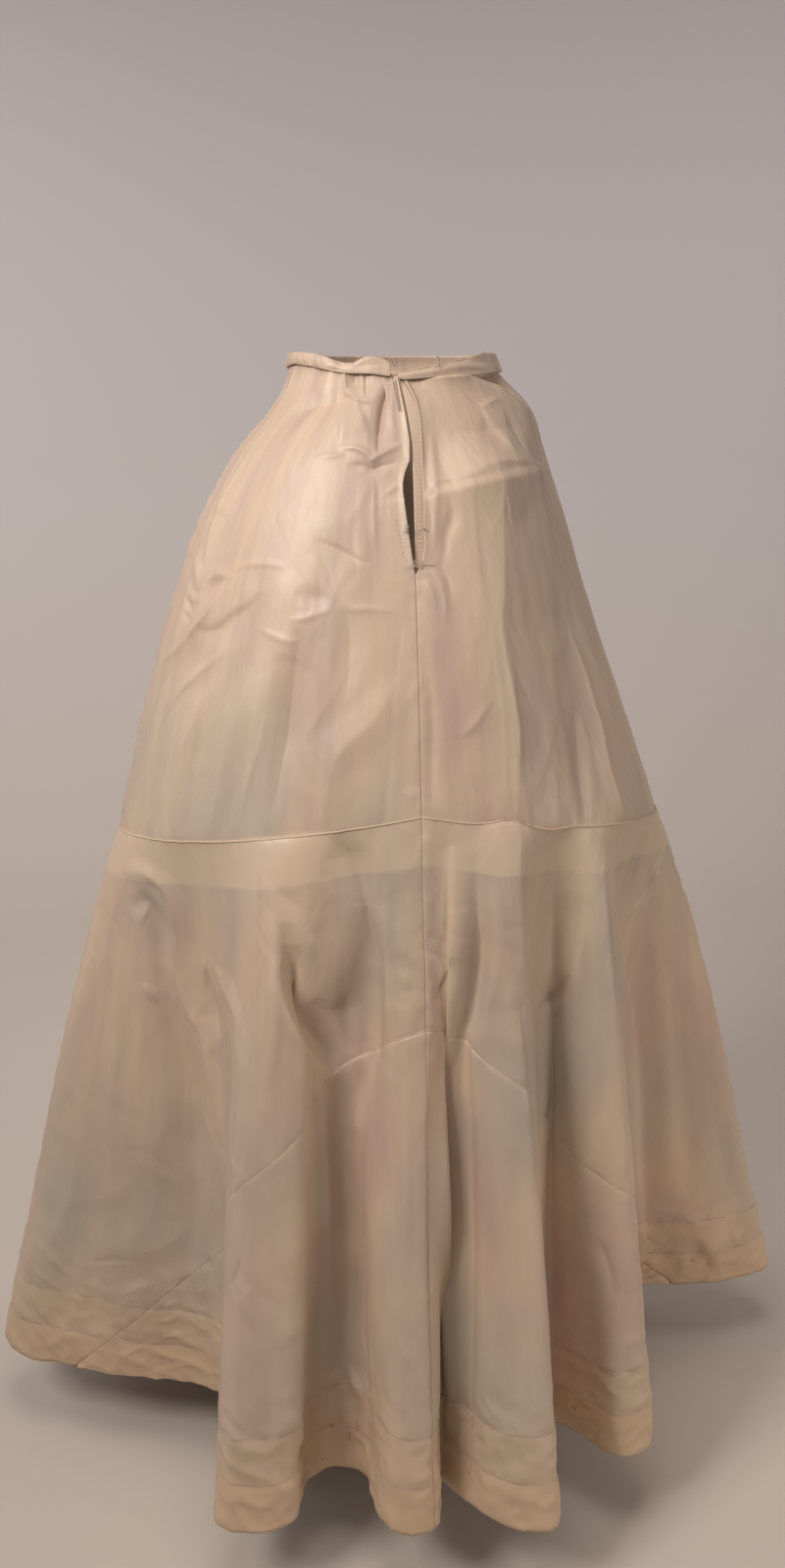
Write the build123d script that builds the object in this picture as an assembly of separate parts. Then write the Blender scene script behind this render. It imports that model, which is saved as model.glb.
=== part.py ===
from build123d import *
import math
import os

# A floor-length taffeta skirt as it hangs when worn: a hip yoke set into a narrow folded
# waistband and open at the centre back, a fluted flounce lapped over the yoke, a train gore
# let into the back of the flounce along a chevron seam, and a faced hem.
# Millimetres. +Z is up, the centre back is at +Y and the wearer's right is at -X.
# The origin is the middle of the waist opening, on the waist seam.

# Cloth and seams
CLOTH = 1.0
LAYER_GAP = 0.3
SEAM_GAP = 0.3

# Waistband
WAIST_HALF_WIDTH = 107.0
WAIST_HALF_DEPTH = 84.0
BAND_HEIGHT = 16.0
BAND_WALL = 1.0
BAND_FOOT = 1.5

# Yoke
SEAM_HALF_WIDTH = 284.0
SEAM_BACK_REACH = 200.0
SEAM_FRONT_REACH = 185.0
YOKE_BACK_DROP = 415.0
YOKE_SIDE_DROP = 75.0
YOKE_LAP = 46.0
YOKE_FOLD_DEPTH = 5.0
YOKE_FOLDS = 16

# Placket
PLACKET_DEPTH = 196.0
PLACKET_GAPE = 10.0

# Flounce, gore and hem
HEM_DROP = 1050.0
HEM_REACH = 464.0
CHEVRON_DROP = 605.0
CHEVRON_STUB = 6.0
HEM_FACING = 82.0

# Hooks and eyes
WIRE_RADIUS = 0.45
EYE_HALF_WIDTH = 3.2
EYE_RISE = 9.0
EYE_FOOT = 3.5
HOOK_LENGTH = 15.0
HOOK_SPREAD = 3.0
HOOK_LIFT = 2.6
BAR_HALF_LENGTH = 4.0

# How the yoke swells from the waist to its lower seam.
# Each row: depth share, then the reach to left, right, back and front, each as a share of
# the way from the waist oval to the seam oval.
YOKE_LEVEL_SHARES = (
    (0.00, 0.00, 0.00, 0.00, 0.00),
    (0.08, 0.10, 0.26, 0.18, 0.16),
    (0.18, 0.34, 0.31, 0.34, 0.30),
    (0.32, 0.54, 0.43, 0.51, 0.46),
    (0.50, 0.70, 0.56, 0.68, 0.62),
    (0.75, 0.87, 0.78, 0.86, 0.82),
    (1.00, 1.00, 1.00, 1.00, 1.00),
)

# Plan of the hem from the centre back round by the wearer's right: right and back reach,
# as shares of the greatest reach. Every flute has its flanks, its crest and its trough.
HEM_PLAN_SHARES = (
    (0.013, 0.509), (0.041, 0.375), (0.108, 0.478), (0.194, 0.539), (0.246, 0.539),
    (0.259, 0.442), (0.263, 0.323), (0.302, 0.244), (0.371, 0.308), (0.442, 0.369),
    (0.500, 0.345), (0.496, 0.226), (0.463, 0.075), (0.500, -0.086), (0.625, -0.200),
    (0.763, -0.190), (0.905, -0.200), (0.996, -0.248), (0.959, -0.345), (0.830, -0.405),
    (0.690, -0.440), (0.600, -0.560), (0.500, -0.640), (0.360, -0.560), (0.200, -0.690),
    (0.000, -0.600), (-0.200, -0.690), (-0.360, -0.560), (-0.500, -0.630), (-0.610, -0.530),
    (-0.690, -0.400), (-0.810, -0.330), (-0.885, -0.230), (-0.850, -0.150), (-0.740, -0.092),
    (-0.620, -0.035), (-0.467, 0.006), (-0.385, 0.065), (-0.352, 0.151), (-0.375, 0.259),
    (-0.410, 0.366), (-0.397, 0.448), (-0.323, 0.472), (-0.252, 0.444), (-0.233, 0.371),
    (-0.166, 0.312), (-0.112, 0.340), (-0.095, 0.431), (-0.047, 0.517),
)

# Lines round the skirt on which every panel is drawn: from the centre back to the right side
# seam, across the front, and from the left side seam to the centre back again.
BACK_LINES = 36
FRONT_LINES = 40
GORE_LINES = 27
SIDE_SHARE = 0.25
HEM_RIGHT_SHARE = 0.335
HEM_LEFT_SHARE = 0.285
RIGHT_SIDE = BACK_LINES
LEFT_SIDE = BACK_LINES + FRONT_LINES
LINES = 2 * BACK_LINES + FRONT_LINES
PLACKET_PUSH_LINES = 7
PLACKET_FACING_LINES = 3


def line_share(line, right=SIDE_SHARE, left=SIDE_SHARE):
    """Share of the way round at which a line stands, given the share of each back quarter."""
    if line <= RIGHT_SIDE:
        return right * line / BACK_LINES
    if line <= LEFT_SIDE:
        return right + (1 - right - left) * (line - RIGHT_SIDE) / FRONT_LINES
    return 1 - left + left * (line - LEFT_SIDE) / BACK_LINES


def ring_points(plan, right, left):
    """Points on a closed smooth plan curve, one for each line."""
    curve = Spline(*[(-reach, back) for reach, back in plan], periodic=True)
    return [curve.position_at(line_share(line, right, left)) for line in range(LINES)]


def oval_plan(level):
    """Plan of the yoke at one level, a rounded oval with four reaches of its own."""
    depth, left, right, back, front = level
    side_growth = SEAM_HALF_WIDTH - WAIST_HALF_WIDTH
    reach_left = WAIST_HALF_WIDTH + side_growth * left
    reach_right = WAIST_HALF_WIDTH + side_growth * right
    reach_back = WAIST_HALF_DEPTH + (SEAM_BACK_REACH - WAIST_HALF_DEPTH) * back
    reach_front = WAIST_HALF_DEPTH + (SEAM_FRONT_REACH - WAIST_HALF_DEPTH) * front
    plan = []
    for step in range(24):
        turn = math.tau * step / 24
        side = reach_right if math.sin(turn) > 0 else reach_left
        out = reach_back if math.cos(turn) > 0 else reach_front
        plan.append((side * math.sin(turn), out * math.cos(turn)))
    return plan


YOKE_RINGS = [ring_points(oval_plan(row), SIDE_SHARE, SIDE_SHARE) for row in YOKE_LEVEL_SHARES]
HEM_PLAN = [(HEM_REACH * right, HEM_REACH * back) for right, back in HEM_PLAN_SHARES]
HEM_RING = ring_points(HEM_PLAN, HEM_RIGHT_SHARE, HEM_LEFT_SHARE)


def mix(start, end, share):
    """Value part of the way between two."""
    return start + (end - start) * share


def seam_drop(line):
    """Depth of the yoke seam below the waist, peaked at the centre back."""
    return YOKE_BACK_DROP + YOKE_SIDE_DROP * abs(math.sin(math.pi * line_share(line)))


def placket_gape(down):
    """Half width of the open placket at one depth, closed at its top and bottom."""
    share = down * YOKE_BACK_DROP / PLACKET_DEPTH
    if not 0 < share < 1:
        return 0
    return PLACKET_GAPE / 2 * math.sin(math.pi * share ** 1.4) ** 2


def yoke_fold(line, down):
    """Outward swing of the soft yoke folds, none at the waist and gone low in the flounce."""
    swell = math.sin(math.pi * min(down, 1.5) / 1.5)
    return YOKE_FOLD_DEPTH * swell * math.cos(math.tau * YOKE_FOLDS * line_share(line))


def skirt_point(line, down):
    """Point of the outermost cloth: down is 0 at the waist, 1 at the yoke seam, 2 at the hem."""
    at = line % LINES
    drop = seam_drop(line)
    if down <= 0:
        return YOKE_RINGS[0][at] - Vector(0, 0, down * YOKE_BACK_DROP)
    if down > 1:
        spot = mix(YOKE_RINGS[-1][at], HEM_RING[at], down - 1)
        height = -mix(drop, HEM_DROP, down - 1)
    else:
        row = max(i for i, level in enumerate(YOKE_LEVEL_SHARES[:-1]) if level[0] <= down)
        top, low = YOKE_LEVEL_SHARES[row][0], YOKE_LEVEL_SHARES[row + 1][0]
        spot = mix(YOKE_RINGS[row][at], YOKE_RINGS[row + 1][at], (down - top) / (low - top))
        height = -drop * down
    swing = 1 + yoke_fold(line, down) / spot.length
    from_slit = min(line, LINES - line)
    push = placket_gape(down) * max(0, 1 - from_slit / PLACKET_PUSH_LINES)
    aside = -push if line < LINES / 2 else push
    return Vector(spot.X * swing + aside, spot.Y * swing, height)


def axes_at(line, down):
    """Unit directions at a point of the skirt: round to the right, and outward."""
    after, before = (line + 1) % LINES, (line - 1) % LINES
    around = (skirt_point(after, down) - skirt_point(before, down)).normalized()
    if down <= 0:
        fall = Vector(0, 0, -1)
    else:
        fall = skirt_point(line, min(down + 0.02, 2)) - skirt_point(line, down - 0.02)
    return around, fall.cross(around).normalized()


def layer_point(line, down, depth, shift=0):
    """Point a given depth inside the outermost cloth, shifted a little round the skirt."""
    around, outward = axes_at(line, down)
    return skirt_point(line, down) - outward * depth + around * shift


def flat_faces(corner_sets):
    """Three-cornered flat faces, without those drawn in to nothing at a point."""
    faces = []
    for a, b, c in corner_sets:
        if min((a - b).length, (b - c).length, (c - a).length) > LAYER_GAP / 10:
            faces.append(Face(Wire.make_polygon([a, b, c], close=True)))
    return faces


def quad_faces(a, b, c, d):
    """Two flat faces across a four-cornered patch, split from a to c."""
    return flat_faces([(a, b, c), (a, c, d)])


def sheet_faces(rows, leftward):
    """Flat faces over a grid of points, split one way on the right and the other on the left."""
    faces = []
    for upper, lower in zip(rows, rows[1:]):
        for a, b, c, d in zip(upper, upper[1:], lower[1:], lower):
            faces += quad_faces(b, c, d, a) if leftward else quad_faces(a, b, c, d)
    return faces


def rim(rows):
    """The border of a grid of points, in order."""
    right = [row[-1] for row in rows[1:-1]]
    left = [row[0] for row in rows[1:-1]]
    return rows[0] + right + rows[-1][::-1] + left[::-1]


def cloth_panel(first, last, rows_at, layer):
    """One cut piece of cloth between two lines, as a thin wall with closed edges."""
    near = layer * (CLOTH + LAYER_GAP)
    sides = []
    for depth in (near, near + CLOTH):
        columns = []
        for line in range(first, last + 1):
            shift = SEAM_GAP / 2 * ((line == first) - (line == last))
            columns.append([layer_point(line, down, depth, shift) for down in rows_at(line)])
        sides.append([list(row) for row in zip(*columns)])
    outer, inner = sides
    edge_out, edge_in = rim(outer), rim(inner)
    leftward = first >= LEFT_SIDE
    faces = sheet_faces(outer, leftward) + sheet_faces(inner, leftward)
    turn_out, turn_in = edge_out[1:] + edge_out[:1], edge_in[1:] + edge_in[:1]
    for a, b, c, d in zip(edge_out, turn_out, turn_in, edge_in):
        faces += quad_faces(a, b, c, d)
    return Solid(Shell(faces))


BAND_TUCK = BAND_HEIGHT - BAND_WALL - LAYER_GAP
LAP_ROW = 1 + YOKE_LAP / (HEM_DROP - YOKE_BACK_DROP)
FACING_ROW = 2 - HEM_FACING / (HEM_DROP - YOKE_BACK_DROP)
CHEVRON_TOP = 1 + (CHEVRON_DROP - YOKE_BACK_DROP) / (HEM_DROP - YOKE_BACK_DROP)
CHEVRON_END = FACING_ROW - CHEVRON_STUB / (HEM_DROP - YOKE_BACK_DROP)
CHEVRON_BEND = 1.6
CUT_GAP = SEAM_GAP / (HEM_DROP - YOKE_BACK_DROP) / 2


def chevron(line):
    """Row of the seam above the train gore, highest at the centre back and ending at the hem."""
    from_back = min(line, LINES - line)
    if from_back >= GORE_LINES:
        return 2
    return mix(CHEVRON_TOP, CHEVRON_END, (from_back / (GORE_LINES - 1)) ** CHEVRON_BEND)


def yoke_rows(line):
    levels = [level[0] for level in YOKE_LEVEL_SHARES]
    return [-BAND_TUCK / YOKE_BACK_DROP] + levels + [LAP_ROW]


def flounce_front_rows(line):
    return [1, LAP_ROW, mix(LAP_ROW, FACING_ROW, 0.33), mix(LAP_ROW, FACING_ROW, 0.67), FACING_ROW, 2]


def flounce_back_rows(line):
    low = chevron(line) - CUT_GAP
    if low > FACING_ROW:
        return [1, LAP_ROW, mix(LAP_ROW, FACING_ROW, 0.5), FACING_ROW, 2]
    return [1, LAP_ROW, mix(LAP_ROW, low, 0.5), low, low]


def gore_rows(line):
    high = chevron(line) + CUT_GAP
    if high > 2:
        return [2, 2, 2, 2, 2]
    return [high, mix(high, FACING_ROW, 0.33), mix(high, FACING_ROW, 0.67), FACING_ROW, 2]


def hem_rows(line):
    return [FACING_ROW, 2]


def placket_rows(line):
    return [level[0] for level in YOKE_LEVEL_SHARES if 0 < level[0] <= 0.5]


def waistband():
    """Folded band that clasps the top edge of the yoke, open at the centre back."""
    cavity_out = CLOTH
    cavity_in = 2 * CLOTH + 2 * LAYER_GAP
    near, far = cavity_out - BAND_WALL, cavity_in + BAND_WALL
    top, ceiling = BAND_HEIGHT, BAND_HEIGHT - BAND_WALL
    section = [(near, BAND_FOOT), (near, top), (far, top), (far, BAND_FOOT)]
    section += [(cavity_in, BAND_FOOT), (cavity_in, ceiling), (cavity_out, ceiling)]
    section += [(cavity_out, BAND_FOOT)]
    loops = []
    for line in range(LINES + 1):
        around, outward = axes_at(line, 0)
        shift = around * (SEAM_GAP / 2 * ((line == 0) - (line == LINES)))
        foot = skirt_point(line, 0) + shift
        loops.append([foot - outward * depth + Vector(0, 0, rise) for depth, rise in section])
    faces = []
    for here, after in zip(loops, loops[1:]):
        for a, b, c, d in zip(here, here[1:] + here[:1], after[1:] + after[:1], after):
            faces += quad_faces(a, b, c, d)
    faces += [Face(Wire.make_polygon(loop, close=True)) for loop in (loops[0], loops[-1])]
    return Solid(Shell(faces))


def bent_wire(plane, path_points):
    """Six-sided wire bent along points given as along, up and out on a plane."""
    path = plane * Polyline(*path_points)
    start = Plane(origin=path @ 0, z_dir=path % 0)
    section = start * RegularPolygon(WIRE_RADIUS, 6)
    return sweep(section, path=path, transition=Transition.RIGHT)


def dress_plane(line, down, depth, rise):
    """Plane lying on the cloth: its X runs to the wearer's right, its Y up, its Z outward."""
    around, outward = axes_at(line, down)
    spot = layer_point(line, down, depth) + Vector(0, 0, rise)
    return Plane(origin=spot, x_dir=around, z_dir=outward)


WIRE_SEAT = -(WIRE_RADIUS + LAYER_GAP / 2)


def waist_eye():
    """Round eye sewn to the band, standing above its top edge."""
    plane = dress_plane(9, 0, CLOTH - BAND_WALL + WIRE_SEAT, BAND_HEIGHT)
    foot, wide = EYE_HALF_WIDTH + EYE_FOOT, EYE_HALF_WIDTH
    low, mid, high = -EYE_RISE * 0.9, EYE_RISE * 0.6, EYE_RISE
    neck = wide * 0.65
    path = [(-foot, low, 0), (-neck, low, 0), (-neck, 0, 0), (-wide, mid, 0), (-neck, high, 0)]
    path += [(-x, y, z) for x, y, z in path[::-1]]
    return bent_wire(plane, path)


def waist_hook():
    """Bent hook sewn to the left end of the band, its bill turned back outward."""
    plane = dress_plane(LINES - 2, 0, CLOTH - BAND_WALL + WIRE_SEAT, BAND_HEIGHT / 2)
    half = HOOK_SPREAD / 2
    tail, nose = -HOOK_LENGTH * 0.6, HOOK_LENGTH * 0.4
    path = [(tail, half * 2.6, 0), (tail * 0.8, half, 0), (nose * 0.8, half, 0)]
    path += [(nose, half * 0.8, HOOK_LIFT / 2), (nose * 0.8, half * 0.7, HOOK_LIFT)]
    path += [(tail * 0.2, half * 0.5, HOOK_LIFT)]
    path += [(x, -y, z) for x, y, z in path[::-1]]
    return bent_wire(plane, path)


def placket_eye():
    """Small loop on the left placket edge, reaching into the opening."""
    plane = dress_plane(LINES - 1, 0.36, CLOTH + LAYER_GAP + WIRE_SEAT, 0)
    wide = EYE_HALF_WIDTH * 0.6
    path = [(-EYE_FOOT, wide, 0), (EYE_FOOT, wide, 0), (EYE_FOOT * 1.5, 0, 0)]
    path += [(x, -y, z) for x, y, z in path[1::-1]]
    return bent_wire(plane, path)


def placket_bar():
    """Straight bar sewn beside the right placket edge."""
    plane = dress_plane(1, 0.36, CLOTH + LAYER_GAP + WIRE_SEAT, 0)
    path = [(0, -BAR_HALF_LENGTH, 0), (0, BAR_HALF_LENGTH, 0)]
    return bent_wire(plane, path)


PIECES = {
    "waistband": waistband(),
    "yoke_front": cloth_panel(RIGHT_SIDE, LEFT_SIDE, yoke_rows, 1),
    "yoke_back_right": cloth_panel(0, RIGHT_SIDE, yoke_rows, 1),
    "yoke_back_left": cloth_panel(LEFT_SIDE, LINES, yoke_rows, 1),
    "flounce_front": cloth_panel(RIGHT_SIDE, LEFT_SIDE, flounce_front_rows, 0),
    "flounce_back_right": cloth_panel(0, RIGHT_SIDE, flounce_back_rows, 0),
    "flounce_back_left": cloth_panel(LEFT_SIDE, LINES, flounce_back_rows, 0),
    "train_gore_right": cloth_panel(0, GORE_LINES, gore_rows, 0),
    "train_gore_left": cloth_panel(LINES - GORE_LINES, LINES, gore_rows, 0),
    "hem_facing_front": cloth_panel(RIGHT_SIDE, LEFT_SIDE, hem_rows, 1),
    "hem_facing_right": cloth_panel(0, RIGHT_SIDE, hem_rows, 1),
    "hem_facing_left": cloth_panel(LEFT_SIDE, LINES, hem_rows, 1),
    "placket_facing_right": cloth_panel(0, PLACKET_FACING_LINES, placket_rows, 2),
    "placket_facing_left": cloth_panel(LINES - PLACKET_FACING_LINES, LINES, placket_rows, 2),
    "waist_hook": waist_hook(),
    "waist_eye": waist_eye(),
    "placket_eye": placket_eye(),
    "placket_bar": placket_bar(),
}

os.makedirs("parts", exist_ok=True)
for node, piece in PIECES.items():
    export_step(piece, f"parts/{node}.step")
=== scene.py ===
import bpy
import numpy as np
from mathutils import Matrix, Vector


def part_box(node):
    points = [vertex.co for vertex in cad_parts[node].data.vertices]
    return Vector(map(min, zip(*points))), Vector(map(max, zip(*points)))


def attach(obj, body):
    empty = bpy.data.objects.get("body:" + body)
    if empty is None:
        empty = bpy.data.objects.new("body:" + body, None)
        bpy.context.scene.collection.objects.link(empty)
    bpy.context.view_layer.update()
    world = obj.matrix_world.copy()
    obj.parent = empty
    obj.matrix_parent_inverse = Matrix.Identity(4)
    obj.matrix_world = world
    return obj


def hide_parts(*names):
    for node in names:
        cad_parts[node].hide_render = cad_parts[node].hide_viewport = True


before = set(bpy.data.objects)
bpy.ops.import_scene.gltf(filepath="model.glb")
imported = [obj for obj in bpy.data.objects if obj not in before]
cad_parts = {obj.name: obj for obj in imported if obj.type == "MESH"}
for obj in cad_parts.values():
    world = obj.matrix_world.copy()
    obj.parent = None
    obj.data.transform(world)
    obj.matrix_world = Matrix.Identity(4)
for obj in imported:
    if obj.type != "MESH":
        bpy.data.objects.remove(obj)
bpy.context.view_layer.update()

# Sizes of the skirt in metres, as the part has them. Shares round start at the centre back and
# grow to the wearer's right; shares down are 0 at the waist, 1 at the yoke seam, 2 at the hem.
WAIST_HALF_WIDTH = 0.107
WAIST_HALF_DEPTH = 0.084
SEAM_HALF_WIDTH = 0.284
SEAM_BACK_REACH = 0.200
SEAM_FRONT_REACH = 0.185
YOKE_BACK_DROP = 0.415
YOKE_SIDE_DROP = 0.075
YOKE_LAP = 0.046
PLACKET_DEPTH = 0.196
PLACKET_STRIP = 0.015
HEM_DROP = -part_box("train_gore_right")[0].z
HEM_REACH = 0.464
HEM_FACING = 0.082
HEM_TURNING = 0.040
BAND_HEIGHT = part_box("waistband")[1].z
CLOTH = 0.0005
LAYER_STEP = 0.0008
CENTRE_ALLOWANCE = 0.035
CHEVRON_START = 0.305
CHEVRON_LEFT_SHARE = 0.204
CHEVRON_RIGHT_SHARE = 0.21
CHEVRON_BEND = 1.6
FLARE_BEND = 0.95
# Share round from the centre back, and the power by which the folds there grow below the seam.
FOLD_BENDS = ((0.02, 0.95), (0.05, 0.64), (0.16, 0.79))
HEM_CALM_WAVES = 3.0
SIDE_SHARE = 0.25
HEM_RIGHT_SHARE = 0.335
HEM_LEFT_SHARE = 0.285
GORE_SHARE = 0.995
BAND_SHARES = (-0.012, 0.976)
BAND_CLOTH = 0.0016
BAND_ROLL = 0.0012
# Layers count inwards from the flounce, steps are the distance between a sheet's rows, and a spread
# is how many more columns a sheet has than its length at the yoke seam asks for.
BAND_LAYER, FLOUNCE_LAYER, YOKE_LAYER, FACING_LAYER, STRIP_LAYER = -2.0, 0, 1, 1, 2.6
BAND_STEP, YOKE_STEP, FLOUNCE_STEP, FACING_STEP, FRONT_STEP = 0.0018, 0.0024, 0.0034, 0.005, 0.0055
YOKE_SPREAD, FLOUNCE_SPREAD, GORE_SPREAD = 1.25, 2.1, 3.0
# The turned edge of the placket, how far its gape draws the cloth along, and its closed end.
PLACKET_ROLL, PLACKET_ROLL_WIDTH, PLACKET_DRAW, PLACKET_END = 0.0016, 0.005, 0.024, 0.006
PLACKET_LENGTH_GROWTH = 1.6
PLACKET_ROW_BEND = 1.35
STRIP_RIB_HEIGHT, STRIP_RIB_PITCH = 0.00025, 0.004
# Pinked edges: the teeth's depth and pitch.
PINK_DEPTH, PINK_PITCH = 0.0025, 0.004
FLOOR_HEIGHT = -HEM_DROP - 0.080

# Depth of the level, and how far the left, right, back and front have grown from waist to seam.
YOKE_LEVEL_SHARES = np.array((
    (0.00, 0.00, 0.00, 0.00, 0.00),
    (0.08, 0.10, 0.26, 0.18, 0.16),
    (0.18, 0.34, 0.31, 0.34, 0.30),
    (0.32, 0.54, 0.43, 0.51, 0.46),
    (0.50, 0.70, 0.56, 0.68, 0.62),
    (0.75, 0.87, 0.78, 0.86, 0.82),
    (1.00, 1.00, 1.00, 1.00, 1.00),
))
# Places along the hem in plan, right and back, as shares of the reach.
HEM_PLAN_SHARES = np.array((
    (0.013, 0.509), (0.041, 0.375), (0.108, 0.478), (0.194, 0.539), (0.246, 0.539),
    (0.259, 0.442), (0.263, 0.323), (0.302, 0.244), (0.371, 0.308), (0.442, 0.369),
    (0.500, 0.345), (0.496, 0.226), (0.463, 0.075), (0.500, -0.086), (0.625, -0.200),
    (0.763, -0.190), (0.905, -0.200), (0.996, -0.248), (0.959, -0.345), (0.830, -0.405),
    (0.690, -0.440), (0.600, -0.560), (0.500, -0.640), (0.360, -0.560), (0.200, -0.690),
    (0.000, -0.600), (-0.200, -0.690), (-0.360, -0.560), (-0.500, -0.630), (-0.610, -0.530),
    (-0.690, -0.400), (-0.810, -0.330), (-0.885, -0.230), (-0.850, -0.150), (-0.740, -0.092),
    (-0.620, -0.035), (-0.467, 0.006), (-0.385, 0.065), (-0.352, 0.151), (-0.375, 0.259),
    (-0.410, 0.366), (-0.397, 0.448), (-0.323, 0.472), (-0.252, 0.444), (-0.233, 0.371),
    (-0.166, 0.312), (-0.112, 0.340), (-0.095, 0.431), (-0.047, 0.517),
))

# The photograph's frame in pixels, and the eye that took it.
FRAME_WIDTH, FRAME_HEIGHT = 801, 1600
FOCAL_PIXELS = 1540.0
EYE_PIXEL = (400.0, 383.0)
EYE_DISTANCE = 1.6
EYE_TURN = np.radians(8)
EYE_HEIGHT = -0.005
SENSOR = 0.036

# Edges at the back of the waist, in pixels from the wearer's left to the right.
BAND_TOP_PIXELS = ((303, 359), (320, 361), (335, 365), (352, 371), (362, 371), (370, 366), (378, 364), (388, 365),
                   (396, 369), (402, 377), (412, 380), (430, 375), (445, 372), (470, 366), (490, 360), (504, 360))
BAND_FOOT_PIXELS = ((303, 371), (320, 374), (340, 379), (352, 381), (380, 382), (400, 385), (412, 388),
                    (440, 386), (465, 385), (485, 384), (504, 381))
YOKE_TOP_PIXELS = ((303, 370), (320, 373), (338, 377), (347, 376), (356, 373), (375, 374), (390, 374), (398, 376),
                   (405, 383), (420, 385), (445, 383), (470, 382), (504, 378))

# How far the placket's two edges stand right of the centre back, in metres, by depth.
PLACKET_LEFT_EDGE = ((0.000, -0.0075), (0.020, -0.0055), (0.045, -0.0020), (0.069, 0.0005), (0.088, -0.0005),
                     (0.100, -0.0060), (0.110, -0.0086), (0.120, -0.0087), (0.132, -0.0078), (0.144, -0.0066),
                     (0.163, -0.0046), (0.178, -0.0028), (0.189, -0.0014), (0.196, 0.0))
PLACKET_RIGHT_EDGE = ((0.000, -0.0040), (0.006, -0.0030), (0.018, 0.0035), (0.030, 0.0085), (0.045, 0.0108),
                      (0.060, 0.0112), (0.120, 0.0105), (0.170, 0.0090), (0.186, 0.0060), (0.196, 0.0))
PLACKET_STRIP_EDGE = ((0.000, -0.0060), (0.030, -0.0010), (0.069, 0.0032), (0.110, 0.0022), (0.150, 0.0014),
                      (0.186, 0.0008), (0.196, 0.0))

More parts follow.
